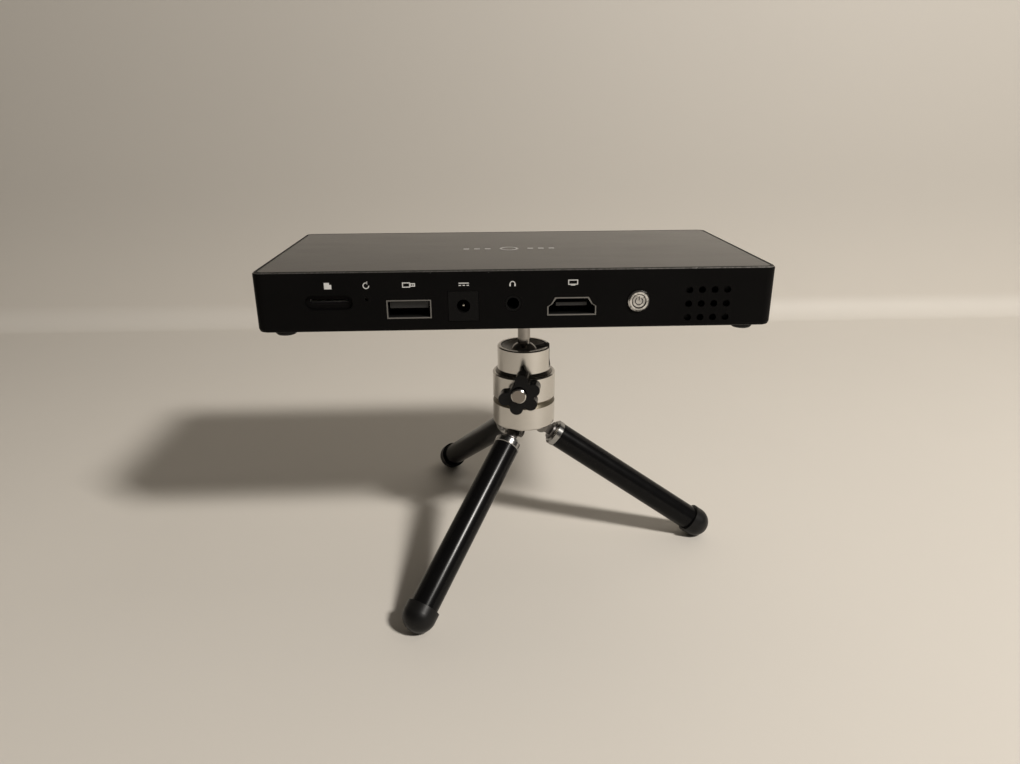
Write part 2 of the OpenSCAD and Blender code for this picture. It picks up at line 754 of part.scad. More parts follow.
module lens_bezel() color([0.08, 0.08, 0.08]) in_case()
    translate([lens_x, rear_y, lens_z]) rotate([-90, 0, 0])
        rotate_extrude()
            polygon([[barrel_d / 2 + 0.2, -wall], [barrel_d / 2 + 0.7, -wall], [barrel_d / 2 + 0.7, 0],
                     [barrel_d / 2 + 1.3, 0], [barrel_d / 2 + 1.3, 0.5], [barrel_d / 2 + 0.9, 0.8],
                     [barrel_d / 2 + 0.2, 0.2]]);

module focus_wheel() color([0.1, 0.1, 0.1]) in_case()
    translate([wheel_x, wheel_y, wheel_z])
        difference() {
            cylinder(h = wheel_t, r = wheel_r);
            for (i = [0:35])
                rotate([0, 0, i * 10]) translate([wheel_r + 0.15, 0, -cut])
                    cylinder(h = wheel_t + 2 * cut, d = 0.8);
            translate([0, 0, -cut]) cylinder(h = wheel_t + 2 * cut, d = wheel_bore_d);
            translate([0, 0, -cut])
                difference() {
                    cylinder(h = 1.6 + cut, r = pocket_r1);
                    cylinder(h = 1.6 + cut, r = pocket_r0);
                }
        }

module led(x, y, turn) {
    translate([x, y, lens_z]) rotate([90, 0, turn]) {
        translate([-4, -4, 0]) cube([8, 8, led_t]);
        translate([0, 0, led_t]) cylinder(h = led_dome, d = 4);
    }
}

module led_red() color([0.7, 0.1, 0.1]) in_case() led(lens_x - 6, engine_y0 - led_back, 180);
module led_green() color([0.1, 0.6, 0.2]) in_case() led(lens_x + 6, engine_y0 - led_back, 180);
module led_blue() color([0.1, 0.2, 0.7]) in_case()
    led(engine_x0 + engine_w + led_back, engine_y0 + 7, -90);

module mirror_chip() color([0.5, 0.5, 0.55]) in_case()
    block(engine_x0 - chip_t, engine_x0, engine_y0 + 2, engine_y0 + 2 + chip_w, lens_z - 4, lens_z + 4);

module heat_sink() color([0.7, 0.7, 0.7]) in_case() {
    block(sink_x0, sink_x0 + sink_w, sink_y0, sink_y1, bottom_t, bottom_t + 2);
    for (i = [0:sink_fins - 1]) {
        x = sink_x0 + i * (sink_w - fin_t) / (sink_fins - 1);
        block(x, x + fin_t, sink_y0, sink_y1, bottom_t + 1.5, engine_top - 0.8);
    }
}

// The blades turn on a shaft that a bar across the intake holds
module fan_housing() color([0.1, 0.1, 0.1]) in_case() {
    bore_r = fan_w / 2 - fan_wall;
    intake_r = fan_w / 2 - 4;
    difference() {
        block(fan_x - fan_w / 2, fan_x + fan_w / 2, fan_y - fan_w / 2, fan_y + fan_w / 2, fan_z, fan_z + fan_h);
        translate([fan_x, fan_y, fan_z + fan_wall]) cylinder(h = fan_h - 2 * fan_wall, r = bore_r);
        translate([fan_x, fan_y, fan_z - cut]) cylinder(h = 3, r = intake_r);
        translate([fan_x, fan_y, fan_z + fan_h - 2]) cylinder(h = 3, r = intake_r);
        block(fan_x, fan_x + fan_w, fan_y, fan_y + bore_r, fan_z + fan_wall, fan_z + fan_h - fan_wall);
    }
    block(fan_x - intake_r - 1, fan_x + intake_r + 1, fan_y - 1.5, fan_y + 1.5, fan_z, fan_z + fan_wall);
    translate([fan_x, fan_y, fan_z]) cylinder(h = fan_h - fan_wall - 1, d = fan_shaft_d);
}

module fan_impeller() color([0.12, 0.12, 0.12]) in_case()
    translate([fan_x, fan_y, fan_z + fan_wall + hub_gap]) {
        blade_h = fan_h - 2 * (fan_wall + hub_gap);
        difference() {
            union() {
                cylinder(h = blade_h, r = 4);
                cylinder(h = 0.8, r = 8.6);
                for (i = [0:8])
                    rotate([0, 0, i * 40]) translate([3.6, -0.4, 0]) cube([6, 0.8, blade_h]);
            }
            translate([0, 0, -cut]) cylinder(h = blade_h - 0.4 + cut, d = fan_shaft_d + 0.1);
        }
    }

module ir_window() color([0.15, 0.02, 0.03]) in_case() {
    bar_y(ir_x, inner_rear - 0.8, rear_y - 0.1, ir_z, ir_d - 0.2);
    bar_y(ir_x, inner_rear - 1.6, inner_rear, ir_z, ir_d + 2);
}

// ------------------------------------------------ ball head

module head_base() color([0.78, 0.75, 0.7]) {
    difference() {
        translate([0, 0, base_z])
            rotate_extrude()
                polygon([[0, 0], [base_r - 0.6, 0], [base_r, 0.6],
                         [base_r, base_h - groove_h / 2], [base_r - groove_depth, base_h],
                         [base_r, base_h + groove_h / 2], [base_r, base_h + ring_h - 0.4],
                         [base_r - 0.4, base_h + ring_h], [0, base_h + ring_h]]);
        translate([0, 0, ring_z - spigot_l - 0.3])
            cylinder(h = spigot_l + 0.3 + cut, d = spigot_d + 2 * fit_gap);
        translate([0, 0, cup_z - 0.3]) cylinder(h = case_z, d = cup_d + 0.4);
        at_lock() rotate([0, 90, 0]) cylinder(h = base_r + cut, d = lock_d + 2 * lock_gap);
    }
    for (i = [1:3])
        rotate([0, 0, leg_turn + 120 * (i - 1)]) lugs();
}

// The pair of lugs that holds one leg's pin
module lugs() {
    side = tab_t / 2 + tab_gap;
    difference() {
        for (s = [-1, 1])
            translate([0, s * (side + lug_t / 2), 0]) {
                translate([pin_circle_r, lug_t / 2, pin_z])
                    rotate([90, 0, 0]) cylinder(h = lug_t, d = 4.4);
                translate([pin_circle_r - 2.2, -lug_t / 2, pin_z]) cube([4.4, lug_t, pin_drop + 0.5]);
            }
        translate([pin_circle_r, 0, pin_z])
            rotate([90, 0, 0]) cylinder(h = 20, d = pin_d + 0.02, center = true);
    }
}

module head_housing() color([0.8, 0.77, 0.72])
    difference() {
        rotate_extrude()
            polygon([[0, ring_z - spigot_l], [spigot_d / 2, ring_z - spigot_l], [spigot_d / 2, ring_z + 0.02],
                     [housing_r + 0.8, ring_z + 0.02], [housing_r + 0.8, ring_z + 0.2],
                     [housing_r, ring_z + 1.3], [housing_r, head_z - 0.4], [housing_r - 0.4, head_z],
                     [housing_r - 1.2, head_z], [mouth_d / 2, lip_z], [0, lip_z]]);
        translate([0, 0, ball_z]) sphere(r = ball_r + ball_gap, $fn = 96);
        translate([0, 0, ring_z - spigot_l - cut]) cylinder(h = ball_z - ring_z + spigot_l + cut, r = ball_r + ball_gap);
        translate([0, 0, ring_z - spigot_l - cut])
            cylinder(h = cup_top - ring_z + spigot_l + cut + 0.3, d = cup_d + 0.4);
        at_lock() rotate([0, 90, 0]) cylinder(h = spigot_d, d = lock_d + 0.6);
        translate([0, 0, ball_z]) cylinder(h = ball_r + 2, d = mouth_d);
        rotate([0, 0, slot_turn]) {
            translate([0, -slot_w / 2, ball_z]) cube([housing_d, slot_w, case_z]);
            translate([0, 0, ball_z]) rotate([0, 90, 0]) cylinder(h = housing_d, d = slot_w);
        }
    }

module ball_stud() color([0.72, 0.7, 0.68]) {
    difference() {
        translate([0, 0, ball_z]) sphere(r = ball_r, $fn = 96);
        translate([0, 0, ball_z - ball_r - 1]) cylinder(h = 1.6, r = 5);
    }
    translate([0, 0, ball_z]) cylinder(h = case_z - ball_z - 1, d = neck_d);
    translate([0, 0, case_z - 2.2]) cylinder(h = 2.1, d = 9.2);
    translate([0, 0, case_z - 1]) cylinder(h = thread_l - 0.2 + 1, d = thread_d);
}

module clamp_cup() color([0.85, 0.85, 0.8])
    difference() {
        rotate_extrude()
            polygon([[0, cup_z], [cup_r, cup_z], [cup_r, lock_z - lock_d / 2 - 0.15],
                     [cup_r - cup_groove, lock_z - 0.9], [cup_r - cup_groove, lock_z + 0.9],
                     [cup_r, lock_z + lock_d / 2 + 0.15], [cup_r, cup_top], [0, cup_top]]);
        translate([0, 0, ball_z]) sphere(r = ball_r + ball_gap, $fn = 96);
    }

// ------------------------------------------------ lock knob

module lock_screw() color([0.7, 0.68, 0.65]) at_lock()
    rotate([0, 90, 0]) translate([0, 0, lock_in])
        rotate_extrude()
            polygon([[0, 0], [0.6, 0], [lock_d / 2, 1.3], [lock_d / 2, knob_out - 1.4 - lock_in],
                     [lock_end_d / 2, knob_out - 1.4 - lock_in], [lock_end_d / 2, lock_out - lock_in - 0.4],
                     [lock_end_d / 2 - 0.4, lock_out - lock_in], [0, lock_out - lock_in]]);

// One place round the knob has lost its lobe
missing_lobe = 1;
lobe_r = 2.3;
lobe_first = 80;
lobe_neck = 2;
hub_r = lock_end_d / 2 + 0.9;
pocket_depth = 1.5;

// How far the web between two lobes stands out past the line between their middles
web_out = 0.9;

// The web between a lobe and the next one
module knob_web(step) {
    reach = knob_r - lobe_r;
    bulge = web_out * [cos(step / 2), sin(step / 2)];
    polygon([[0, 0], [reach, 0] + bulge, reach * [cos(step), sin(step)] + bulge]);
}

// The outline of the star, round a hole
module star(hole_d) {
    step = 360 / knob_lobes;
    difference() {
        union() {
            circle(r = hub_r);
            for (i = [0:knob_lobes - 1])
                if (i != missing_lobe && (i + 1) % knob_lobes != missing_lobe)
                    rotate([0, 0, lobe_first + i * step]) knob_web(step);
            for (i = [0:knob_lobes - 1])
                if (i != missing_lobe)
                    rotate([0, 0, lobe_first + i * step]) {
                        translate([knob_r - lobe_r, 0]) circle(r = lobe_r);
                        translate([0, -lobe_neck]) square([knob_r - lobe_r, 2 * lobe_neck]);
                    }
        }
        circle(d = hole_d);
    }
}

module lock_knob() color([0.04, 0.04, 0.04]) at_lock()
    translate([knob_in, 0, 0]) rotate([90, 0, 90]) {
        linear_extrude(height = knob_t - pocket_depth) star(lock_d + 2 * lock_gap);
        translate([0, 0, knob_t - pocket_depth])
            linear_extrude(height = pocket_depth) star(lock_end_d + 0.3);
    }

// ------------------------------------------------ legs

module hinge_pins() color([0.7, 0.68, 0.65])
    for (i = [1:3])
        rotate([0, 0, leg_turn + 120 * (i - 1)])
            translate([pin_circle_r, 0, pin_z]) rotate([90, 0, 0])
                cylinder(h = tab_t + 2 * (tab_gap + lug_t) - 0.1, d = pin_d, center = true);

module leg_tab(i) color([0.45, 0.44, 0.43]) at_leg(i)
    difference() {
        union() {
            rotate([90, 0, 0]) cylinder(h = tab_t, d = 3.2, center = true);
            translate([0, -tab_t / 2, -1.6]) cube([collar_start + 1, tab_t, 3.2]);
            translate([collar_start - 0.8, 0, 0]) rotate([0, 90, 0]) cylinder(h = 0.8, d = 6.4);
            translate([collar_start, 0, 0]) rotate([0, 90, 0])
                cylinder(h = collar_h + 8, d = tube_d - 2 * tube_wall - 2 * fit_gap);
        }
        rotate([90, 0, 0]) cylinder(h = 10, d = pin_d + 2 * pin_gap, center = true);
    }

module leg_collar(i) color([0.8, 0.79, 0.77]) at_leg(i)
    translate([collar_start, 0, 0]) rotate([0, 90, 0])
        rotate_extrude()
            polygon([[tube_d / 2 - tube_wall, 0], [collar_d / 2 - 0.7, 0], [collar_d / 2, 0.7],
                     [collar_d / 2, collar_h - 0.3], [collar_d / 2 - 0.3, collar_h],
                     [tube_d / 2 - tube_wall, collar_h]]);

module leg_tube(i) color([0.03, 0.03, 0.03]) at_leg(i)
    translate([collar_start + collar_h + 0.02, 0, 0]) rotate([0, 90, 0])
        difference() {
            cylinder(h = leg_len - collar_start - collar_h - 0.5, d = tube_d);
            translate([0, 0, -cut])
                cylinder(h = leg_len, d = tube_d - 2 * tube_wall);
        }

// A round rubber cap with a short straight skirt
module leg_foot(i) color([0.04, 0.04, 0.04]) at_leg(i)
    difference() {
        translate([leg_len, 0, 0]) rotate([0, 90, 0])
            intersection() {
                union() {
                    translate([0, 0, -cap_skirt]) cylinder(h = cap_skirt, r = cap_r);
                    sphere(r = cap_r, $fn = 96);
                }
                translate([0, 0, -cap_skirt]) cylinder(h = cap_skirt + cap_r, r = cap_r);
            }
        translate([leg_len - cap_skirt - cut, 0, 0]) rotate([0, 90, 0])
            cylinder(h = cap_skirt + cut - 0.4, d = tube_d + 2 * fit_gap);
    }

// ------------------------------------------------ the parts

middle_frame();
top_panel();
bottom_cover();
tripod_insert();
for (i = [1:4]) case_foot(i);
cover_screws();
main_board();
board_screws();
card_reader();
reset_switch();
reset_plunger();
usb_shell();
usb_tongue();
dc_jack();
dc_pin();
headphone_jack();
hdmi_shell();
hdmi_tongue();
power_button();
power_switch();
speaker();
battery();
engine_housing();
lens_barrel();
lens_front();
lens_rear();
lens_bezel();
focus_wheel();
led_red();
led_green();
led_blue();
mirror_chip();
heat_sink();
fan_housing();
fan_impeller();
ir_window();
head_base();
head_housing();
ball_stud();
clamp_cup();
lock_screw();
lock_knob();
hinge_pins();
for (i = [1:3]) leg_tab(i);
for (i = [1:3]) leg_collar(i);
for (i = [1:3]) leg_tube(i);
for (i = [1:3]) leg_foot(i);
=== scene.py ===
import math

import bpy
from mathutils import Matrix, Vector


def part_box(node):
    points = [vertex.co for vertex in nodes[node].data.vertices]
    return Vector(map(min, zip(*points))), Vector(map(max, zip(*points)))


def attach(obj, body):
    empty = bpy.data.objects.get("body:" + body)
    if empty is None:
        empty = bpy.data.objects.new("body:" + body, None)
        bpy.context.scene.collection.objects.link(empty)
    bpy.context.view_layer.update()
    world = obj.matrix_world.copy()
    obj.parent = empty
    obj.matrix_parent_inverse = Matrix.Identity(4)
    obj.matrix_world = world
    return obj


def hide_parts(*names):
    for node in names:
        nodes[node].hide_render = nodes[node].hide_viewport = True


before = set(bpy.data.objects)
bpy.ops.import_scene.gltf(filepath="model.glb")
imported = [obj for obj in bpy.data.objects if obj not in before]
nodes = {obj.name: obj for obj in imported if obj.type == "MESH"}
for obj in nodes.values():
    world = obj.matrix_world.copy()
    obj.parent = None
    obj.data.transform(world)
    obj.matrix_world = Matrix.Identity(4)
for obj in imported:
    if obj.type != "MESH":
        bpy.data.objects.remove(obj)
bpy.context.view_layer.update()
print("frame:", len(nodes), "nodes loaded")

mm = 0.001

# places that several pieces are measured from, all read from the frame
frameLow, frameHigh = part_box("middle_frame")
caseMid = (frameLow + frameHigh) / 2
frontY = frameLow.y
caseTop = frameHigh.z
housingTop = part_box("head_housing")[1].z
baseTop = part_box("head_base")[1].z


def middleOf(name):
    low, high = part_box(name)
    return (low + high) / 2


cameraSettings = {
    "place": (-0.01519, -0.24429, 0.153125),
    "pitch": 20.19,  # degrees below level
    "yaw": -2.38,
    "roll": 0.29,
    "lens": 25.35,
    "sensor": 36,
    "clipStart": 0.01,
}

lampSettings = {
    "key": {
        "place": (0.62, -0.62, 0.86), "size": 0.15, "watts": 16.0,
        "colour": (1.0, 0.955, 0.90)},
    "fill": {
        "place": (0.75, 0.10, 1.15), "size": 0.5, "watts": 1.2,
        "colour": (1.0, 0.95, 0.89)},
    "aim": (0.0, 0.0, 0.08),
}

roomSettings = {"colour": (0.62, 0.575, 0.52), "strength": 0.07}


def makeCamera(s):
    pitch, yaw, roll = (math.radians(s[k]) for k in ("pitch", "yaw", "roll"))
    reach = math.cos(pitch)
    forward = Vector((-math.sin(yaw) * reach, math.cos(yaw) * reach, -math.sin(pitch)))
    level = Vector((math.cos(yaw), math.sin(yaw), 0))
    above = level.cross(forward)
    right = level * math.cos(roll) - above * math.sin(roll)
    up = level * math.sin(roll) + above * math.cos(roll)
    data = bpy.data.cameras.new("camera")
    data.lens = s["lens"]
    data.sensor_width = s["sensor"]
    data.clip_start = s["clipStart"]
    camera = bpy.data.objects.new("camera", data)
    bpy.context.scene.collection.objects.link(camera)
    turn = Matrix((right, up, -forward)).transposed().to_4x4()
    camera.matrix_world = Matrix.Translation(s["place"]) @ turn
    bpy.context.scene.camera = camera


def makeLamp(name, s, aim):
    data = bpy.data.lights.new(name, "AREA")
    data.size = s["size"]
    data.energy = s["watts"]
    data.color = s["colour"]
    lamp = bpy.data.objects.new(name, data)
    bpy.context.scene.collection.objects.link(lamp)
    lamp.location = s["place"]
    towards = Vector(aim) - Vector(s["place"])
    lamp.rotation_euler = towards.to_track_quat("-Z", "Y").to_euler()


def makeRoom(s):
    world = bpy.data.worlds.new("room")
    bpy.context.scene.world = world
    world.use_nodes = True
    background = world.node_tree.nodes["Background"]
    background.inputs["Color"].default_value = (*s["colour"], 1)
    background.inputs["Strength"].default_value = s["strength"]


makeCamera(cameraSettings)
# the blacks come out too light with the view transform that Blender starts with
bpy.context.scene.view_settings.view_transform = "Standard"
for lampName in ("key", "fill"):
    makeLamp(lampName, lampSettings[lampName], lampSettings["aim"])
makeRoom(roomSettings)
print("camera, lamps and room: set")


class Signal:
    # a socket that adds its own Math nodes, so maths on it reads as an expression
    def __init__(self, finish, socket):
        self.finish = finish
        self.socket = socket

    def maths(self, operation, *values):
        return self.finish.node("ShaderNodeMath", {"operation": operation}, dict(enumerate(values)))

    def __add__(self, other):
        return self.maths("ADD", self, other)

    def __sub__(self, other):
        return self.maths("SUBTRACT", self, other)

    def __rsub__(self, other):
        return self.maths("SUBTRACT", other, self)

    def __mul__(self, other):
        return self.maths("MULTIPLY", self, other)

    def __pow__(self, other):
        return self.maths("POWER", self, other)

    def __rpow__(self, other):
        return self.maths("POWER", other, self)

    __radd__ = __add__
    __rmul__ = __mul__

    def sway(self, amount):
        # for noise, which lies about 0.5: the same amount up and down
        return (self - 0.5) * amount


class Finish:
    # one material and the nodes in it; a noise is given as scale, detail and roughness
    def __init__(self, name):
        self.material = bpy.data.materials.new(name)
        self.material.use_nodes = True
        self.tree = self.material.node_tree
        self.tree.nodes.clear()
        self.place = self.node("ShaderNodeTexCoord", out="Object")
        self.x, self.y, self.z = (
            self.node("ShaderNodeSeparateXYZ", {}, {0: self.place}, out=i) for i in range(3))

    def node(self, kind, settings=None, values=None, out=0):
        made = self.tree.nodes.new(kind)
        for key, value in (settings or {}).items():
            setattr(made, key, value)
        for key, value in (values or {}).items():
            if isinstance(value, Signal):
                self.tree.links.new(value.socket, made.inputs[key])
            else:
                made.inputs[key].default_value = value
        return None if out is None else Signal(self, made.outputs[out])

    def noise(self, scale, detail=3.0, rough=0.55, where=None):
        return self.node("ShaderNodeTexNoise", {}, {
            "Vector": where or self.place, "Scale": scale, "Detail": detail, "Roughness": rough})

    def vector(self, x, y, z):
        return self.node("ShaderNodeCombineXYZ", {}, {0: x, 1: y, 2: z})

    def streaks(self, scales, detail, rough):
        # noise with its own scale along each axis
        return self.noise(1, detail, rough, self.vector(
            self.x * scales[0], self.y * scales[1], self.z * scales[2]))

    def turned(self, around, along, density):
        # lathe lines, which run round an axis
        return self.noise(1, 3, 0.6, self.vector(around * density, along * density, 0.0))

    def rise(self, value, low, high):
        # 0 below low, 1 above high, smooth between
        return self.node("ShaderNodeMapRange", {"interpolation_type": "SMOOTHSTEP"},
                         {"Value": value, "From Min": low, "From Max": high})

    def patches(self, noise, low, high):
        return self.rise(self.noise(*noise), low, high)

    def band(self, value, low, high, soft):
        start = self.rise(value, low - soft, low + soft)
        return start * (1 - self.rise(value, high - soft, high + soft))

    def radius(self, a, b):
        return (a * a + b * b) ** 0.5

    def mix(self, factor, first, second):
        # sockets 0, 6 and 7 are a colour Mix node's factor, A and B
        first, second = (c if isinstance(c, Signal) else (*c, 1) for c in (first, second))
        return self.node("ShaderNodeMix", {"data_type": "RGBA"},
                         {0: factor, 6: first, 7: second}, out=2)

    def bump(self, height, depth, strength):
        # the depth is in mm
        return self.node("ShaderNodeBump", {}, {
            "Height": height, "Distance": depth * mm, "Strength": strength})

    def shade(self, **values):
        sockets = {key.replace("_", " "): value for key, value in values.items()}
        shader = self.node("ShaderNodeBsdfPrincipled", {}, sockets)
        self.node("ShaderNodeOutputMaterial", {}, {"Surface": shader}, out=None)
        return self.material


def scaled(colour, factor):
    return tuple(c * factor for c in colour)


def dress(material, names):
    for name in names:
        nodes[name].data.materials.clear()
        nodes[name].data.materials.append(material)


# grain is a noise scale, and depth is its bump in mm
plainPlastics = {
    "coverBlack": {
        "on": ["bottom_cover"],
        "colour": (0.014, 0.0135, 0.013), "rough": 0.5, "grain": 5200, "depth": 0.05},
    "padRubber": {
        "on": ["case_foot_1", "case_foot_2", "case_foot_3", "case_foot_4"],
        "colour": (0.005, 0.005, 0.005), "rough": 0.62, "grain": 3600, "depth": 0.05},
    "socketBlack": {
        "on": ["dc_jack", "headphone_jack"],
        "colour": (0.0030, 0.0029, 0.0029), "rough": 0.36, "grain": 3000, "depth": 0.02,
        "gloss": 0.10},
    "switchBlack": {
        "on": ["reset_switch", "power_switch"],
        "colour": (0.02, 0.02, 0.02), "rough": 0.4, "grain": 3000, "depth": 0.02},
    "plungerCream": {
        "on": ["reset_plunger"],
        "colour": (0.55, 0.50, 0.40), "rough": 0.4, "grain": 3000, "depth": 0.02},
    "speakerBlack": {
        "on": ["speaker"],
        "colour": (0.012, 0.012, 0.012), "rough": 0.8, "grain": 2400, "depth": 0.12},
    "engineBlack": {
        "on": ["engine_housing"],
        "colour": (0.018, 0.018, 0.019), "rough": 0.55, "grain": 2600, "depth": 0.08},
    "bezelBlack": {
        "on": ["lens_bezel"],
        "colour": (0.010, 0.010, 0.011), "rough": 0.24, "grain": 2600, "depth": 0.02},
    "wheelBlack": {
        "on": ["focus_wheel"],
        "colour": (0.012, 0.012, 0.012), "rough": 0.45, "grain": 3200, "depth": 0.05},
    "fanBlack": {
        "on": ["fan_housing", "fan_impeller"],
        "colour": (0.016, 0.016, 0.017), "rough": 0.42, "grain": 2600, "depth": 0.03},
    "irDark": {
        "on": ["ir_window"],
        "colour": (0.012, 0.003, 0.004), "rough": 0.09, "grain": 900, "depth": 0.01},
    "cupNylon": {
        "on": ["clamp_cup"],
        "colour": (0.60, 0.58, 0.52), "rough": 0.45, "grain": 2200, "depth": 0.04},
}

# what the plain plastics have in common
plasticSettings = {
    "cloud": (120, 4),
    "cloudTint": 0.45,
    "lighter": 2.2,
    "cloudRough": 0.16,
    "grainDetail": 2,
    "grainBump": 0.6,
    "gloss": 0.3,
}


def makePlastic(name, s, shared):
    f = Finish(name)
    cloud = f.noise(*shared["cloud"])
    grain = f.noise(s["grain"], shared["grainDetail"])
    lighter = scaled(s["colour"], shared["lighter"])
    return f.shade(
        Base_Color=f.mix(cloud * shared["cloudTint"], s["colour"], lighter),
        Roughness=cloud.sway(shared["cloudRough"]) + s["rough"],
        Specular_IOR_Level=s.get("gloss", shared["gloss"]),
        Normal=f.bump(grain, s["depth"], shared["grainBump"]))


plainMetals = {
    "insertBrass": {"on": ["tripod_insert"], "colour": (0.58, 0.43, 0.19), "rough": 0.32},
    "screwSteel": {"on": ["cover_screws"], "colour": (0.09, 0.09, 0.095), "rough": 0.36},
    "boardScrew": {"on": ["board_screws"], "colour": (0.55, 0.54, 0.52), "rough": 0.3},
    "portSteel": {"on": ["card_reader"], "colour": (0.86, 0.85, 0.83), "rough": 0.4},
    "pinBrass": {"on": ["dc_pin"], "colour": (0.80, 0.76, 0.66), "rough": 0.2},
    "pinSteel": {"on": ["hinge_pins"], "colour": (0.45, 0.43, 0.41), "rough": 0.35},
    "sinkAlu": {"on": ["heat_sink"], "colour": (0.60, 0.61, 0.62), "rough": 0.42},
    "tabSteel": {
        "on": ["leg_tab_1", "leg_tab_2", "leg_tab_3"],
        "colour": (0.16, 0.15, 0.145), "rough": 0.4},
}

# what the plain metals have in common
metalSettings = {
    "cloud": (260, 4),
    "cloudTint": 0.5,
    "darker": 0.72,
    "cloudRough": 0.18,
    "scratch": ((900, 900, 5200), 3, 0.7),
    "scratchBump": (0.012, 0.5),
}


def makeMetal(name, s, shared):
    f = Finish(name)
    cloud = f.noise(*shared["cloud"])
    scratch = f.streaks(*shared["scratch"])
    darker = scaled(s["colour"], shared["darker"])
    return f.shade(
        Base_Color=f.mix(cloud * shared["cloudTint"], s["colour"], darker),
        Metallic=1.0,
        Roughness=cloud.sway(shared["cloudRough"]) + s["rough"],
        Normal=f.bump(scratch, *shared["scratchBump"]))


for finishName, settings in plainPlastics.items():
    dress(makePlastic(finishName, settings, plasticSettings), settings["on"])
for finishName, settings in plainMetals.items():
    dress(makeMetal(finishName, settings, metalSettings), settings["on"])
print("finishes: plain plastics and metals")


frameSettings = {
    "colour": (0.0022, 0.0020, 0.0020),
    "lighter": (0.0052, 0.0050, 0.0048),
    "cloud": (70, 5, 0.6),
    "cloudTint": 0.6,
    "rough": 0.42,
    "smear": ((60, 60, 190), 3, 0.6),
    "smearRough": 0.2,
    "gloss": 0.05,
    "grain": (6000, 2),
    "grainBump": (0.03, 0.5),
    "chamfer": 0.30,  # mm, along the top edge
    "lip": 0.06,
    "edgeSoft": 0.03,
    # the colour of the painted highlight and of the worn edge along the chamfer
    "edgeHighlightColour": (0.20, 0.19, 0.175),
    "edgeWorn": ((900, 4, 0.6), 0.38, 0.62),
    "edgeHighlightShare": (0.4, 0.6),  # painted highlight along the chamfer where it is unworn, and what wear adds
    "edgeSmooth": 0.1,
    "nicks": ((420, 3, 0.7), 0.69, 0.72),
    "nickColour": (0.30, 0.29, 0.27),
    "nickTint": 0.6,
    "nickDepth": (0.9, 0.3),  # mm below the top, for the first ones and for all
}


def makeFrameBlack(s):
    f = Finish("frameBlack")
    # a lighter, metallic band along the top chamfer: partly real wear, partly a painted highlight
    edge = f.band(f.z, caseTop - s["chamfer"] * mm, caseTop - s["lip"] * mm, s["edgeSoft"] * mm)
    least, more = s["edgeHighlightShare"]
    edgeHighlightAndWear = edge * (f.patches(*s["edgeWorn"]) * more + least)
    first, full = s["nickDepth"]
    nick = f.patches(*s["nicks"]) * f.rise(f.z, caseTop - first * mm, caseTop - full * mm)
    colour = f.mix(f.noise(*s["cloud"]) * s["cloudTint"], s["colour"], s["lighter"])
    colour = f.mix(edgeHighlightAndWear, colour, s["edgeHighlightColour"])
    colour = f.mix(nick * s["nickTint"], colour, s["nickColour"])
    smear = f.streaks(*s["smear"]).sway(s["smearRough"])
    return f.shade(
        Base_Color=colour,
        Metallic=edgeHighlightAndWear,
        Roughness=smear + s["rough"] - edgeHighlightAndWear * s["edgeSmooth"],
        Specular_IOR_Level=s["gloss"],
        Normal=f.bump(f.noise(*s["grain"]), *s["grainBump"]))


panelSettings = {
    "colour": (0.0075, 0.0064, 0.0058),
    "lighter": (0.0115, 0.0100, 0.0090),
    "cloud": (26, 5, 0.6),
    "cloudRough": 0.08,
    "rough": 0.16,
    "wipe": ((34, 150, 1), 4, 0.65),
    "wipeRough": 0.14,
    "gloss": 0.24,
    "dustColour": (0.10, 0.095, 0.088),
    "dust": ((1500, 1), 0.76, 0.80),
    "dustWhere": (0.42, 0.6),  # between these values of the cloud
    "dustTint": 0.6,
    "dustRough": 0.3,
    "grain": (2600, 2),
    "grainBump": (0.006, 0.4),
}


def makePanelGloss(s):
    f = Finish("panelGloss")
    cloud = f.noise(*s["cloud"])
    dust = f.patches(*s["dust"]) * f.rise(cloud, *s["dustWhere"])
    colour = f.mix(cloud, s["colour"], s["lighter"])
    wipe = f.streaks(*s["wipe"])
    return f.shade(
        Base_Color=f.mix(dust * s["dustTint"], colour, s["dustColour"]),
        Roughness=(wipe.sway(s["wipeRough"]) + cloud.sway(s["cloudRough"])
                   + dust * s["dustRough"] + s["rough"]),
        Specular_IOR_Level=s["gloss"],
        Normal=f.bump(f.noise(*s["grain"]), *s["grainBump"]))


dress(makeFrameBlack(frameSettings), ["middle_frame"])
dress(makePanelGloss(panelSettings), ["top_panel"])
print("finishes: case")


shellSettings = {
    "rim": (0.24, 0.235, 0.225),
    # painted shade: the inside of the shell is coloured near black, where shade falls in the port
    "inside": (0.012, 0.012, 0.012),
    "rimDepth": 0.5,  # mm of edge at the front that keeps the metal's colour; deeper in is painted shade
    "rimFade": 0.7,
    "metallic": 0.85,
    "cloud": (700, 4),
    "cloudTint": 0.35,
    "darker": 0.5,
    "cloudRough": 0.2,
    "rough": 0.34,
    "grain": (2600, 2),
    "grainBump": (0.01, 0.4),
}


def makePortShell(s):
    f = Finish("portShell")
    deep = s["rimDepth"]
    # the front rim keeps the metal's colour; deeper in, painted shade darkens it
    front = 1 - f.rise(f.y, frontY + deep * mm, frontY + (deep + s["rimFade"]) * mm)
    cloud = f.noise(*s["cloud"])
    colour = f.mix(front, s["inside"], s["rim"])
    return f.shade(
        Base_Color=f.mix(cloud * s["cloudTint"], colour, scaled(s["rim"], s["darker"])),
        Metallic=s["metallic"],
        Roughness=cloud.sway(s["cloudRough"]) + s["rough"],
        Normal=f.bump(f.noise(*s["grain"]), *s["grainBump"]))


tongueSettings = {
    "colour": (0.008, 0.008, 0.008),
    "contact": (0.62, 0.52, 0.30),
    "contactTop": (0.09, 0.13),  # mm above the underside, where the contacts end
    "contactSmooth": 0.16,
    "cloud": (900, 3),
    "cloudTint": 0.5,
    "lighter": 2.6,
    "cloudRough": 0.12,
    "rough": 0.4,
    "grain": (3000, 2),
    "grainBump": (0.015, 0.4),
}


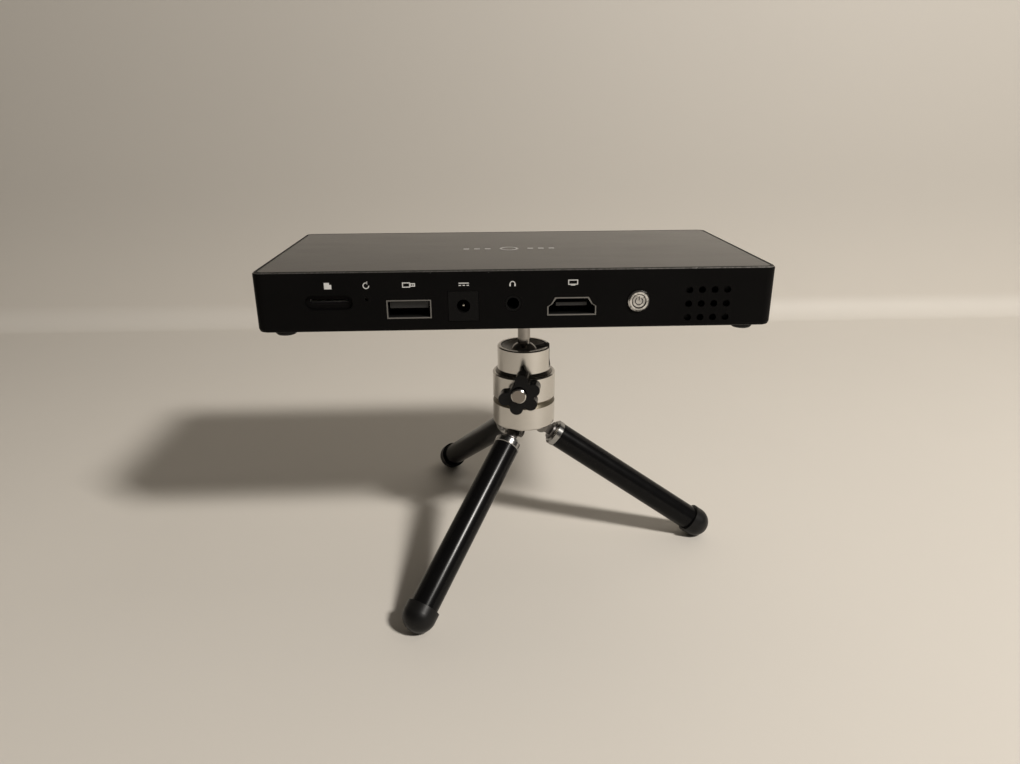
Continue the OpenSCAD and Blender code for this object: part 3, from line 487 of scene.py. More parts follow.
def makeTongue(name, bottom, s):
    f = Finish(name)
    low, high = s["contactTop"]
    contact = 1 - f.rise(f.z, bottom + low * mm, bottom + high * mm)
    cloud = f.noise(*s["cloud"])
    colour = f.mix(cloud * s["cloudTint"], s["colour"], scaled(s["colour"], s["lighter"]))
    return f.shade(
        Base_Color=f.mix(contact, colour, s["contact"]),
        Metallic=contact,
        Roughness=cloud.sway(s["cloudRough"]) + s["rough"] - contact * s["contactSmooth"],
        Normal=f.bump(f.noise(*s["grain"]), *s["grainBump"]))


dress(makePortShell(shellSettings), ["usb_shell", "hdmi_shell"])
for tongueName in ("usb_tongue", "hdmi_tongue"):
    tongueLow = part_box(tongueName)[0].z
    dress(makeTongue(tongueName + "_finish", tongueLow, tongueSettings), [tongueName])
print("finishes: ports")


# what the base and the housing have in common
headSettings = {
    "metal": (0.66, 0.635, 0.595),
    "shaded": (0.52, 0.495, 0.46),
    "lineTint": 0.14,
    "cloud": (230, 4),
    "cloudTint": 0.14,
    "rough": 0.25,
    "lineRough": 0.08,
    "cloudRough": 0.08,
    "lines": 5200,
    "lineBump": (0.004, 0.5),
    "darkRough": 0.12,
}

baseSettings = {
    "grooveDown": 10.1,  # mm from the top of the ring to the groove's middle
    "grooveHeight": 2.3,
    "grooveSoft": 0.08,
    "grooveColour": (0.17, 0.145, 0.10),
    "grooveDull": 0.5,
    "under": (9.8, 9.3),  # painted shade on the underside, in mm below the groove: all of it and the first of it
    "underColour": (0.08, 0.075, 0.07),
    "underTint": 0.8,
}

housingSettings = {
    "dishRadius": 8.25,
    "dishEdge": (0.05, 0.1),  # mm inside and outside that radius
    "dishDepth": 1.25,
    "dishFade": 0.1,
    "dishColour": (0.52, 0.48, 0.44),
    "dishRing": 7.7,
    "ringFade": 0.1,
    "slotTurn": -7,  # degrees
    "slotHalf": 2.86,
    "slotSoft": 0.03,
    "slotStart": 0.5,
    "slotDeep": 7.8,
    "slotFade": 0.1,
    # the colour of the painted shade in the slot, and also the black of the dish's outer ring
    "slotShadeAndRingBlack": (0.012, 0.011, 0.010),
    "slotShadeTint": 0.9,
    "slotShadeDull": 0.6,
    "shoulder": 1.25,  # mm of painted shade on the neck above the ring, standing in for its shadow and dark reflection
    "shoulderFade": 0.15,
    "shoulderShadeColour": (0.10, 0.085, 0.07),
    "shoulderShadeTint": 0.85,
}


def headMetal(f, shared):
    # the turned metal's lines, its colour and its roughness
    lines = f.turned(f.radius(f.x, f.y), f.z, shared["lines"])
    cloud = f.noise(*shared["cloud"])
    colour = f.mix(lines * shared["lineTint"] + cloud * shared["cloudTint"],
                   shared["metal"], shared["shaded"])
    rough = lines.sway(shared["lineRough"]) + cloud.sway(shared["cloudRough"]) + shared["rough"]
    return lines, colour, rough


def makeHeadBase(s, shared):
    f = Finish("headSatin")
    lines, colour, rough = headMetal(f, shared)
    grooveZ = baseTop - s["grooveDown"] * mm
    half = s["grooveHeight"] / 2 * mm
    groove = f.band(f.z, grooveZ - half, grooveZ + half, s["grooveSoft"] * mm)
    # painted shade: the lowest part of the base, round the hinge lugs, is coloured dark
    full, first = s["under"]
    under = 1 - f.rise(f.z, grooveZ - full * mm, grooveZ - first * mm)
    colour = f.mix(groove, colour, s["grooveColour"])
    colour = f.mix(under * s["underTint"], colour, s["underColour"])
    return f.shade(
        Base_Color=colour,
        Metallic=1 - groove * s["grooveDull"],
        Roughness=rough + groove * shared["darkRough"],
        Normal=f.bump(lines, *shared["lineBump"]))


def makeHeadHousing(s, shared):
    f = Finish("headHousing")
    lines, colour, rough = headMetal(f, shared)
    r = f.radius(f.x, f.y)
    inner, outer = s["dishEdge"]
    dish = 1 - f.rise(r, (s["dishRadius"] - inner) * mm, (s["dishRadius"] + outer) * mm)
    dish = dish * f.rise(f.z, housingTop - (s["dishDepth"] + s["dishFade"]) * mm,
                         housingTop - s["dishDepth"] * mm)
    # painted shade: the neck just above the ring is coloured dark
    neck = 1 - f.rise(f.z, baseTop + (s["shoulder"] - s["shoulderFade"]) * mm,
                      baseTop + s["shoulder"] * mm)
    ring = f.rise(r, s["dishRing"] * mm, (s["dishRing"] + s["ringFade"]) * mm)
    dark = f.mix(ring, s["dishColour"], s["slotShadeAndRingBlack"])
    dark = f.mix(neck, dark, s["shoulderShadeColour"])
    colour = f.mix(dish.maths("MAXIMUM", dish, neck * s["shoulderShadeTint"]), colour, dark)
    turn = math.radians(s["slotTurn"])
    across = f.y * math.cos(turn) - f.x * math.sin(turn)
    along = f.x * math.cos(turn) + f.y * math.sin(turn)
    low = housingTop - s["slotDeep"] * mm
    # painted shade: the slot's walls and floor are coloured near black and dull
    slotShade = (f.band(across, -s["slotHalf"] * mm, s["slotHalf"] * mm, s["slotSoft"] * mm)
            * f.rise(along, 0.0, s["slotStart"] * mm)
            * f.rise(f.z, low, low + s["slotFade"] * mm))
    return f.shade(
        Base_Color=f.mix(slotShade * s["slotShadeTint"], colour, s["slotShadeAndRingBlack"]),
        Metallic=(1 - dish) * (1 - slotShade * s["slotShadeDull"]),
        Roughness=rough + dish * shared["darkRough"],
        Normal=f.bump(lines, *shared["lineBump"]))


studSettings = {
    "metal": (0.36, 0.34, 0.315),
    "shaded": (0.17, 0.16, 0.15),
    "lineTint": 0.3,
    "cloud": (300, 3),
    "cloudTint": 0.3,
    "rough": 0.17,
    "cloudRough": 0.16,
    "lines": 4200,
    "lineBump": (0.003, 0.5),
}


def makeStudSteel(s):
    f = Finish("studSteel")
    lines = f.turned(f.radius(f.x, f.y), f.z, s["lines"])
    cloud = f.noise(*s["cloud"])
    shade = lines * s["lineTint"] + cloud * s["cloudTint"]
    return f.shade(
        Base_Color=f.mix(shade, s["metal"], s["shaded"]),
        Metallic=1.0,
        Roughness=cloud.sway(s["cloudRough"]) + s["rough"],
        Normal=f.bump(lines, *s["lineBump"]))


dress(makeHeadBase(baseSettings, headSettings), ["head_base"])
dress(makeHeadHousing(housingSettings, headSettings), ["head_housing"])
dress(makeStudSteel(studSettings), ["ball_stud"])
print("finishes: ball head")


weldGap = 0.002  # mm

knobSettings = {
    "places": 6,
    "lost": 1,  # the lobe that has broken off
    "first": 80,  # degrees
    "tip": 7.4,
    "lobe": 2.3,
    "neck": 2.0,
    "neckSpan": 60,
    "web": 0.9,
    "hub": 3.5,
    "back": 12.6,
    "thick": 5.0,
    "turn": -99,
    "pocket": 2.75,
    "pocketDepth": 1.5,
    "bore": 2.08,
    "boreSteps": 64,
    "cutPast": 1,  # mm by which a cut runs past the knob
    "edge": 0.42,
    "edgeSteps": 3,
    "edgeAngle": 50,
    "smoothAngle": 35,
    "steps": 216,
    "colour": (0.0030, 0.0030, 0.0032),
    "cloud": (320, 4),
    "cloudTint": 0.5,
    "lighter": 2.4,
    "rough": 0.13,
    "cloudRough": 0.12,
    "scuffs": ((1300, 4, 0.7), 0.68, 0.74),
    "scuffRough": 0.25,
    "gloss": 0.17,
    "grain": (520, 3),
    "grainBump": (0.02, 0.5),
}

lockSettings = {
    "flat": 2.2,  # mm, the radius of the screw's flat end
    "flatEdge": 0.12,
    "colour": (0.30, 0.27, 0.24),
    "bright": (0.62, 0.60, 0.56),
    "lines": 4200,
    "lineTint": 0.3,
    "darker": 0.6,
    "rough": 0.32,
    "lineRough": 0.1,
    "brightSmooth": 0.12,
    "lineBump": (0.006, 0.6),
}
lockZ = middleOf("lock_screw").z


def lockMatrix(s):
    # from the knob's own x, y, z to across, up and out of the head
    turn = Matrix.Rotation(math.radians(s["turn"]), 4, "Z")
    lay = Matrix(((0, 0, 1, 0), (1, 0, 0, 0), (0, 1, 0, 0), (0, 0, 0, 1)))
    out = Matrix.Translation((s["back"] * mm, 0, 0))
    return Matrix.Translation((0, 0, lockZ)) @ turn @ out @ lay


def starReach(angle, s):
    # how far the star reaches at an angle, in mm
    reach = s["hub"]
    centre = s["tip"] - s["lobe"]
    halfStep = math.pi / s["places"]
    webReach = centre * math.cos(halfStep) + s["web"]
    webHalf = math.atan2(centre * math.sin(halfStep), webReach)
    for i in range(s["places"]):
        if i == s["lost"]:
            continue
        a = angle - math.radians(s["first"] + i * 360 / s["places"])
        a = (a + math.pi) % (2 * math.pi) - math.pi
        if abs(a) < math.asin(s["lobe"] / centre):
            edge = math.sqrt(s["lobe"] ** 2 - (centre * math.sin(a)) ** 2)
            reach = max(reach, centre * math.cos(a) + edge)
        if abs(a) < math.radians(s["neckSpan"]):
            side = s["neck"] / max(math.sin(abs(a)), 0.01)  # 0.01, or it would divide by 0
            reach = max(reach, min(side, centre / math.cos(a)))
        fromWeb = abs(a - halfStep)
        if (i + 1) % s["places"] != s["lost"] and fromWeb < webHalf:
            # the web between this lobe and the next one
            reach = max(reach, webReach / math.cos(fromWeb))
    return reach


def clearSelection():
    if bpy.context.object and bpy.context.object.mode != "OBJECT":
        bpy.ops.object.mode_set(mode="OBJECT")
    bpy.ops.object.select_all(action="DESELECT")


def startPick(kind):
    bpy.ops.object.mode_set(mode="EDIT")
    bpy.ops.mesh.select_mode(type=kind)
    bpy.ops.mesh.select_all(action="DESELECT")
    bpy.ops.object.mode_set(mode="OBJECT")


def pickFaces(obj, test):
    # leaves edit mode on, with only those faces selected
    startPick("FACE")
    for face in obj.data.polygons:
        face.select = test(face)
    bpy.ops.object.mode_set(mode="EDIT")


def pickEdges(obj, test):
    # the same for edges, by their two ends
    startPick("EDGE")
    spots = obj.data.vertices
    for edge in obj.data.edges:
        edge.select = test(spots[edge.vertices[0]].co, spots[edge.vertices[1]].co)
    bpy.ops.object.mode_set(mode="EDIT")


def applyAll(obj):
    bpy.ops.object.mode_set(mode="OBJECT")
    bpy.context.view_layer.objects.active = obj
    for modifier in list(obj.modifiers):
        bpy.ops.object.modifier_apply(modifier=modifier.name)


def weldMesh():
    bpy.ops.object.mode_set(mode="EDIT")
    bpy.ops.mesh.select_all(action="SELECT")
    bpy.ops.mesh.remove_doubles(threshold=weldGap * mm)
    bpy.ops.mesh.normals_make_consistent(inside=False)
    bpy.ops.object.mode_set(mode="OBJECT")


def placeMesh(obj, matrix):
    # puts the place in the mesh and leaves the object at the origin
    obj.matrix_world = matrix
    bpy.context.view_layer.update()
    bpy.ops.object.select_all(action="DESELECT")
    obj.select_set(True)
    bpy.context.view_layer.objects.active = obj
    bpy.ops.object.transform_apply(location=True, rotation=True, scale=True)


def cutHole(obj, radius, low, high, steps):
    clearSelection()
    bpy.ops.mesh.primitive_cylinder_add(
        vertices=steps, radius=radius * mm, depth=(high - low) * mm,
        location=(0, 0, (high + low) / 2 * mm))
    tool = bpy.context.object
    hole = obj.modifiers.new("hole", "BOOLEAN")
    hole.operation = "DIFFERENCE"
    hole.object = tool
    bpy.context.view_layer.objects.active = obj
    bpy.ops.object.modifier_apply(modifier=hole.name)
    bpy.data.objects.remove(tool)


def makeKnob(s):
    clearSelection()
    bpy.ops.mesh.primitive_circle_add(vertices=s["steps"], radius=mm, fill_type="NGON")
    knob = bpy.context.object
    knob.name = "starKnob"
    for spot in knob.data.vertices:
        angle = math.atan2(spot.co.y, spot.co.x)
        reach = starReach(angle, s) * mm
        spot.co.x, spot.co.y = reach * math.cos(angle), reach * math.sin(angle)
    bpy.ops.object.mode_set(mode="EDIT")
    bpy.ops.mesh.select_all(action="SELECT")
    bpy.ops.mesh.extrude_region_move(TRANSFORM_OT_translate={"value": (0, 0, s["thick"] * mm)})
    weldMesh()
    past = s["thick"] + s["cutPast"]
    cutHole(knob, s["bore"], -s["cutPast"], past, s["boreSteps"])
    cutHole(knob, s["pocket"], s["thick"] - s["pocketDepth"], past, s["boreSteps"])
    bevel = knob.modifiers.new("edge", "BEVEL")
    bevel.width = s["edge"] * mm
    bevel.segments = s["edgeSteps"]
    bevel.limit_method = "ANGLE"
    bevel.angle_limit = math.radians(s["edgeAngle"])
    bevel.use_clamp_overlap = True
    applyAll(knob)
    weldMesh()
    bpy.ops.object.shade_smooth_by_angle(angle=math.radians(s["smoothAngle"]))
    placeMesh(knob, lockMatrix(s))
    return knob


def makeKnobBlack(s):
    f = Finish("knobBlack")
    cloud = f.noise(*s["cloud"])
    scuff = f.patches(*s["scuffs"])
    return f.shade(
        Base_Color=f.mix(cloud * s["cloudTint"], s["colour"], scaled(s["colour"], s["lighter"])),
        Roughness=cloud.sway(s["cloudRough"]) + scuff * s["scuffRough"] + s["rough"],
        Specular_IOR_Level=s["gloss"],
        Normal=f.bump(f.noise(*s["grain"]), *s["grainBump"]))


def makeLockSteel(s, turn):
    f = Finish("lockSteel")
    across = f.y * math.cos(turn) - f.x * math.sin(turn)
    along = f.x * math.cos(turn) + f.y * math.sin(turn)
    r = f.radius(across, f.z - lockZ)
    lines = f.turned(r, along, s["lines"])
    bright = f.rise(r, s["flat"] * mm, (s["flat"] + s["flatEdge"]) * mm)
    colour = f.mix(lines * s["lineTint"], s["colour"], scaled(s["colour"], s["darker"]))
    return f.shade(
        Base_Color=f.mix(bright, colour, s["bright"]),
        Metallic=1.0,
        Roughness=lines.sway(s["lineRough"]) + s["rough"] - bright * s["brightSmooth"],
        Normal=f.bump(lines, *s["lineBump"]))


knob = makeKnob(knobSettings)
knob.data.materials.append(makeKnobBlack(knobSettings))
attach(knob, "lock_knob")
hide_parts("lock_knob")
dress(makeLockSteel(lockSettings, math.radians(knobSettings["turn"])), ["lock_screw"])
print("knob: star with", knobSettings["places"] - 1, "lobes left")


dustColour = (0.05, 0.047, 0.043)

tubeSettings = {
    "colour": (0.0028, 0.0027, 0.0028),
    "cloud": (180, 4),
    "cloudTint": 0.5,
    "lighter": 2.2,
    "specks": ((1700, 2, 0.6), 0.74, 0.78),
    "speckTint": 0.35,
    "rough": 0.22,
    "cloudRough": 0.08,
    "speckRough": 0.2,
    "gloss": 0.13,
    "grain": (240, 3),
    "grainBump": (0.012, 0.5),
}


def makeTubeBlack(s):
    f = Finish("tubeBlack")
    cloud = f.noise(*s["cloud"])
    speck = f.patches(*s["specks"])
    colour = f.mix(cloud * s["cloudTint"], s["colour"], scaled(s["colour"], s["lighter"]))
    return f.shade(
        Base_Color=f.mix(speck * s["speckTint"], colour, dustColour),
        Roughness=cloud.sway(s["cloudRough"]) + speck * s["speckRough"] + s["rough"],
        Specular_IOR_Level=s["gloss"],
        Normal=f.bump(f.noise(*s["grain"]), *s["grainBump"]))


collarSettings = {
    "colour": (0.40, 0.395, 0.385),
    "cloud": (500, 4),
    "cloudTint": 0.4,
    "darker": 0.7,
    "scratch": (2600, 4, 0.7),
    "rough": 0.22,
    "scratchRough": 0.14,
    "scratchBump": (0.004, 0.5),
}


def makeCollarChrome(s):
    f = Finish("collarChrome")
    cloud = f.noise(*s["cloud"])
    scratch = f.noise(*s["scratch"])
    return f.shade(
        Base_Color=f.mix(cloud * s["cloudTint"], s["colour"], scaled(s["colour"], s["darker"])),
        Metallic=1.0,
        Roughness=scratch.sway(s["scratchRough"]) + s["rough"],
        Normal=f.bump(scratch, *s["scratchBump"]))


capSettings = {
    "colour": (0.0048, 0.0046, 0.0045),
    "cloud": (300, 4),
    "cloudTint": 0.5,
    "lighter": 2.2,
    "dustHeight": (0.2, 2.6),  # mm above the table, for all of it and for none
    "dust": ((1400, 4, 0.65), 0.42, 0.7),
    "dustTint": 0.7,
    "rough": 0.38,
    "cloudRough": 0.14,
    "dustRough": 0.3,
    "gloss": 0.22,
    "grain": (2300, 3),
    "grainBump": (0.03, 0.5),
}


def makeCapRubber(s):
    f = Finish("capRubber")
    cloud = f.noise(*s["cloud"])
    full, none = s["dustHeight"]
    dust = (1 - f.rise(f.z, full * mm, none * mm)) * f.patches(*s["dust"])
    colour = f.mix(cloud * s["cloudTint"], s["colour"], scaled(s["colour"], s["lighter"]))
    return f.shade(
        Base_Color=f.mix(dust * s["dustTint"], colour, dustColour),
        Roughness=cloud.sway(s["cloudRough"]) + dust * s["dustRough"] + s["rough"],
        Specular_IOR_Level=s["gloss"],
        Normal=f.bump(f.noise(*s["grain"]), *s["grainBump"]))


legs = ("1", "2", "3")
dress(makeTubeBlack(tubeSettings), ["leg_tube_" + i for i in legs])
dress(makeCollarChrome(collarSettings), ["leg_collar_" + i for i in legs])
dress(makeCapRubber(capSettings), ["leg_foot_" + i for i in legs])
print("finishes: legs")


buttonSettings = {
    "metal": (0.74, 0.73, 0.71),
    "shaded": (0.10, 0.095, 0.09),
    "lines": 3600,
    "lineTint": 0.2,
    "ring": (1.85, 2.15, 0.06),  # mm from the middle, and how soft: a recessed ring darkened as painted shade
    "outerRing": (2.7, 2.9, 0.05),
    "outerRingShadeTint": 0.7,
    "ringShadeTint": 0.75,
    "patches": ((380, 3, 0.7), 0.46, 0.62),
    "patchTint": 0.4,
    "patchHeight": 2,
    "rough": 0.11,
    "lineRough": 0.1,
    "bump": (0.02, 0.7),
}


def makeButtonChrome(s):
    f = Finish("buttonChrome")
    mid = middleOf("power_button")
    r = f.radius(f.x - mid.x, f.z - mid.z)
    lines = f.turned(r, f.y, s["lines"])
    # painted shade: the recessed rings are darkened towards the shaded colour
    rings = (f.band(r, *(size * mm for size in s["ring"]))
             + f.band(r, *(size * mm for size in s["outerRing"])) * s["outerRingShadeTint"])
    patchy = f.patches(*s["patches"])
    shade = lines * s["lineTint"] + rings * s["ringShadeTint"] + patchy * s["patchTint"]
    return f.shade(
        Base_Color=f.mix(shade, s["metal"], s["shaded"]),
        Metallic=1.0,
        Roughness=lines.sway(s["lineRough"]) + s["rough"],
        Normal=f.bump(lines + patchy * s["patchHeight"], *s["bump"]))


boardSettings = {
    "mask": (0.006, 0.055, 0.026),
    "copper": (0.012, 0.095, 0.042),
    "pad": (0.62, 0.55, 0.38),
    "trackPitch": 520,
    "trackDraw": 0.12,  # the scale along a track, as a share of the pitch
    "tracksAcross": (0.55, 0.58),
    "tracksAlong": (0.56, 0.59),
    "trackTint": 0.6,
    "apart": 3.0,  # keeps the two sets of tracks from being alike
    "pads": ((620, 1), 0.73, 0.75),
    "padHeight": 0.5,
    "weave": (2600, 2),
    "weaveRough": 0.1,
    "rough": 0.3,
    "bump": (0.03, 0.5),
}


def makeBoardGreen(s):
    f = Finish("boardGreen")
    pitch, draw = s["trackPitch"], s["trackDraw"]
    runX = f.noise(1, 2, 0.5, f.vector(f.x * pitch, f.y * pitch * draw, 0.0))
    runY = f.noise(1, 2, 0.5, f.vector(f.x * pitch * draw, f.y * pitch, s["apart"]))
    track = (f.rise(runX, *s["tracksAcross"]) * s["trackTint"]
             + f.rise(runY, *s["tracksAlong"]) * s["trackTint"])
    pad = f.patches(*s["pads"])
    return f.shade(
        Base_Color=f.mix(pad, f.mix(track, s["mask"], s["copper"]), s["pad"]),
        Metallic=pad,
        Roughness=f.noise(*s["weave"]) * s["weaveRough"] + s["rough"],
        Normal=f.bump(track + pad * s["padHeight"], *s["bump"]))


lensSettings = {
    "tint": (0.02, 0.022, 0.032),
    "coating": (0.055, 0.03, 0.10),
    "bloom": (1.2, 4.8),  # mm from the middle
    "bloomShare": 0.7,
    "cloud": (220, 3),
    "cloudShare": 0.3,
    "rough": 0.04,
    "smear": (900, 3),
    "smearRough": 0.03,
    "coat": 1.0,
    "coatRough": 0.02,
    "waves": (300, 2),
    "waveBump": (0.002, 0.3),
}


def makeLensGlass(s):
    # the coated glass of a lens with the dark barrel behind it
    f = Finish("lensGlass")
    mid = middleOf("lens_barrel")
    r = f.radius(f.x - mid.x, f.z - mid.z)
    near, far = s["bloom"]
    bloom = (f.rise(r, near * mm, far * mm) * s["bloomShare"]
             + f.noise(*s["cloud"]) * s["cloudShare"])
    return f.shade(
        Base_Color=f.mix(bloom, s["tint"], s["coating"]),
        Roughness=f.noise(*s["smear"]) * s["smearRough"] + s["rough"],
        Coat_Weight=s["coat"],
        Coat_Roughness=s["coatRough"],
        Normal=f.bump(f.noise(*s["waves"]), *s["waveBump"]))


barrelSettings = {
    "colour": (0.011, 0.011, 0.012),
    "lines": 2400,
    "lineTint": 0.6,
    "lighter": 2.4,
    "rough": 0.34,
    "lineRough": 0.16,
    "lineBump": (0.03, 0.6),
}


def makeBarrelBlack(s):
    f = Finish("barrelBlack")
    mid = middleOf("lens_front")
    lines = f.turned(f.radius(f.x - mid.x, f.z - mid.z), f.y, s["lines"])
    return f.shade(
        Base_Color=f.mix(lines * s["lineTint"], s["colour"], scaled(s["colour"], s["lighter"])),
        Roughness=lines.sway(s["lineRough"]) + s["rough"],
        Normal=f.bump(lines, *s["lineBump"]))


def patchOn(f, a, b, middleA, middleB, halves, soft):
    # a soft-edged oblong about the middle of a piece, all in mm but the middle
    sides = ((a, middleA, halves[0]), (b, middleB, halves[1]))
    first, second = (
        f.band(axis, middle - half * mm, middle + half * mm, soft * mm)
        for axis, middle, half in sides)
    return first * second


wrapSettings = {
    "foil": (0.16, 0.17, 0.19),
    "lighter": 1.5,
    "crease": (70, 4, 0.6),
    "label": (0.50, 0.51, 0.52),
    "labelHalves": (15, 9),  # mm
    "labelSoft": 0.1,
    "labelTint": 0.8,
    "metallic": 0.4,
    "rough": 0.35,
    "creaseRough": 0.2,
    "creaseBump": (0.3, 0.5),
}


def makeBatteryWrap(s):
    f = Finish("batteryWrap")
    mid = middleOf("battery")
    crease = f.noise(*s["crease"])
    label = patchOn(f, f.x, f.y, mid.x, mid.y, s["labelHalves"], s["labelSoft"])
    foil = f.mix(crease, s["foil"], scaled(s["foil"], s["lighter"]))
    return f.shade(
        Base_Color=f.mix(label * s["labelTint"], foil, s["label"]),
        Metallic=s["metallic"] - label * s["metallic"],
        Roughness=crease.sway(s["creaseRough"]) + s["rough"],
        Normal=f.bump(crease, *s["creaseBump"]))


ledSettings = {
    "colours": {
        "led_red": (0.42, 0.02, 0.02),
        "led_green": (0.02, 0.36, 0.06),
        "led_blue": (0.02, 0.05, 0.45),
    },
    "plate": (0.35, 0.34, 0.32),
    "plateDark": (0.2, 0.2, 0.19),
    "cloud": (900, 3),
    "cloudTint": 0.4,
    "dome": (1.9, 2.2),  # mm from the middle, where the dome ends
    "rough": 0.35,
    "cloudRough": 0.2,
    "domeSmooth": 0.2,
    "bump": (0.02, 0.4),
}


def makeLed(name, colour, s):
    f = Finish(name + "_finish")
    mid = middleOf(name)
    far = f.radius(f.radius(f.x - mid.x, f.y - mid.y), f.z - mid.z)
    inner, outer = s["dome"]
    dome = 1 - f.rise(far, inner * mm, outer * mm)
    cloud = f.noise(*s["cloud"])
    plate = f.mix(cloud * s["cloudTint"], s["plate"], s["plateDark"])
    return f.shade(
        Base_Color=f.mix(dome, plate, colour),
        Roughness=cloud * s["cloudRough"] + s["rough"] - dome * s["domeSmooth"],
        Normal=f.bump(cloud, *s["bump"]))


chipSettings = {
    "body": (0.10, 0.10, 0.11),
    "bodyLight": (0.2, 0.2, 0.2),
    "cloud": (1300, 3),
    "cloudTint": 0.4,
    "window": (0.42, 0.43, 0.47),
    "windowHalves": (3.6, 2.2),  # mm
    "windowSoft": 0.05,
    "windowSmooth": 0.24,
    "rough": 0.34,
    "cloudRough": 0.16,
    "bump": (0.02, 0.4),
}


def makeChipGrey(s):
    f = Finish("chipGrey")
    mid = middleOf("mirror_chip")
    window = patchOn(f, f.y, f.z, mid.y, mid.z, s["windowHalves"], s["windowSoft"])
    cloud = f.noise(*s["cloud"])
    body = f.mix(cloud * s["cloudTint"], s["body"], s["bodyLight"])
    return f.shade(
        Base_Color=f.mix(window, body, s["window"]),
        Metallic=window,
        Roughness=cloud * s["cloudRough"] + s["rough"] - window * s["windowSmooth"],
        Normal=f.bump(cloud, *s["bump"]))


dress(makeButtonChrome(buttonSettings), ["power_button"])
dress(makeBoardGreen(boardSettings), ["main_board"])
dress(makeLensGlass(lensSettings), ["lens_front", "lens_rear"])
dress(makeBarrelBlack(barrelSettings), ["lens_barrel"])
dress(makeBatteryWrap(wrapSettings), ["battery"])
dress(makeChipGrey(chipSettings), ["mirror_chip"])
for ledName, ledColour in ledSettings["colours"].items():
    dress(makeLed(ledName, ledColour, ledSettings), [ledName])
print("finishes: button, lens and inside")


printSettings = {
    "thick": 0.03,  # mm above the surface
    "sunk": 0.01,
    "line": 0.26,
    "ringSteps": 48,
    "white": (0.62, 0.62, 0.60),
    "grey": (0.36, 0.345, 0.33),
    "dark": (0.035, 0.034, 0.033),
    "patches": (1600, 4, 0.65),
    "patchTint": 0.55,
    "darker": 0.6,
    "rough": 0.4,
    "patchRough": 0.2,
    "bump": (0.01, 0.4),
}

# the marks over the ports, in mm: bars and frames are x, y, width and height,
# and rings are x, y, radius, and from and to in degrees
marks = {
    "cardMark": {
        "x": -55.1, "z": 14.0,
        "bars": [(-0.3, 0, 1.5, 1.9), (0.75, -0.3, 0.6, 1.3)]},
    "resetMark": {
        "x": -44.1, "z": 13.95,
        "rings": [(0, 0, 0.95, 90, 360)],
        "bars": [(0.2, 0.83, 0.5, 0.24), (0.34, 0.83, 0.2, 0.8)]},
    "plugMark": {
        "x": -32.0, "z": 14.0,
        "frames": [(-0.5, 0, 2.3, 1.5), (1.35, 0, 1.5, 1.0)],
        "bars": [(1.4, 0.2, 0.4, 0.2), (1.4, -0.2, 0.4, 0.2)]},
    "currentMark": {
        "x": -15.75, "z": 14.0,
        "bars": [(0, 0.32, 3.0, 0.26), (-1.15, -0.32, 0.7, 0.26),
                 (0, -0.32, 0.7, 0.26), (1.15, -0.32, 0.7, 0.26)]},
    "headphoneMark": {
        "x": -1.5, "z": 14.0,
        "rings": [(0, -0.1, 0.85, 0, 180)],
        "bars": [(-0.72, -0.42, 0.42, 0.75), (0.72, -0.42, 0.42, 0.75)]},
    "screenMark": {
        "x": 16.3, "z": 14.05,
        "frames": [(0, 0.12, 2.9, 1.5)],
        "bars": [(0, -0.78, 1.3, 0.2)]},
}

squareGap = 3.6
topMark = {
    "place": (-1, -1),  # mm from the case's middle, and from the head's axis
    "line": 0.8,
    "rings": [(0, 0, 3.2, 0, 360)],
    "bars": [(i * squareGap, 0, 1.9, 1.9) for i in (-4, -3, -2, 2, 3, 4)],
}

powerMark = {
    "dish": 0.25,  # mm from the button's rim back to its face
    "line": 0.3,
    "rings": [(0, 0, 1.25, 125, 415)],
    "bars": [(0, 0.85, 0.3, 1.2)],
}


def flatBar(x, y, width, height):
    bpy.ops.mesh.primitive_plane_add(size=mm, location=(x * mm, y * mm, 0))
    bar = bpy.context.object
    bar.scale = (width, height, 1)
    bpy.ops.object.transform_apply(location=True, rotation=False, scale=True)
    return bar


def openUp(shape, line):
    # leaves a rim of that width
    bpy.ops.object.mode_set(mode="EDIT")
    bpy.ops.mesh.select_all(action="SELECT")
    bpy.ops.mesh.inset(thickness=line * mm)
    bpy.ops.mesh.delete(type="FACE")
    bpy.ops.object.mode_set(mode="OBJECT")
    return shape


def flatRing(x, y, radius, start, end, line):
    bpy.ops.mesh.primitive_circle_add(
        vertices=printSettings["ringSteps"], radius=radius * mm, fill_type="NGON")
    ring = openUp(bpy.context.object, line)

    def outside(face):
        angle = math.degrees(math.atan2(face.center.y, face.center.x)) % 360
        return not any(start <= angle + turn <= end for turn in (0, 360))

    pickFaces(ring, outside)
    bpy.ops.mesh.delete(type="FACE")
    bpy.ops.object.mode_set(mode="OBJECT")
    ring.location = (x * mm, y * mm, 0)
    bpy.ops.object.transform_apply(location=True, rotation=False, scale=False)
    return ring


def makeMark(name, s, matrix, material, body):
    line = s.get("line", printSettings["line"])
    strokes = []
    for bar in s.get("bars", []):
        clearSelection()
        strokes.append(flatBar(*bar))
    for outline in s.get("frames", []):
        clearSelection()
        strokes.append(openUp(flatBar(*outline), line))
    for ring in s.get("rings", []):
        clearSelection()
        strokes.append(flatRing(*ring, line))
    clearSelection()
    for stroke in strokes:
        stroke.select_set(True)
    bpy.context.view_layer.objects.active = strokes[0]
    bpy.ops.object.join()
    mark = bpy.context.object
    mark.name = name
    ink = mark.modifiers.new("ink", "SOLIDIFY")
    ink.thickness = (printSettings["thick"] + printSettings["sunk"]) * mm
    ink.offset = 1
    applyAll(mark)
    placeMesh(mark, matrix)
    mark.data.materials.clear()
    mark.data.materials.append(material)
    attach(mark, body)


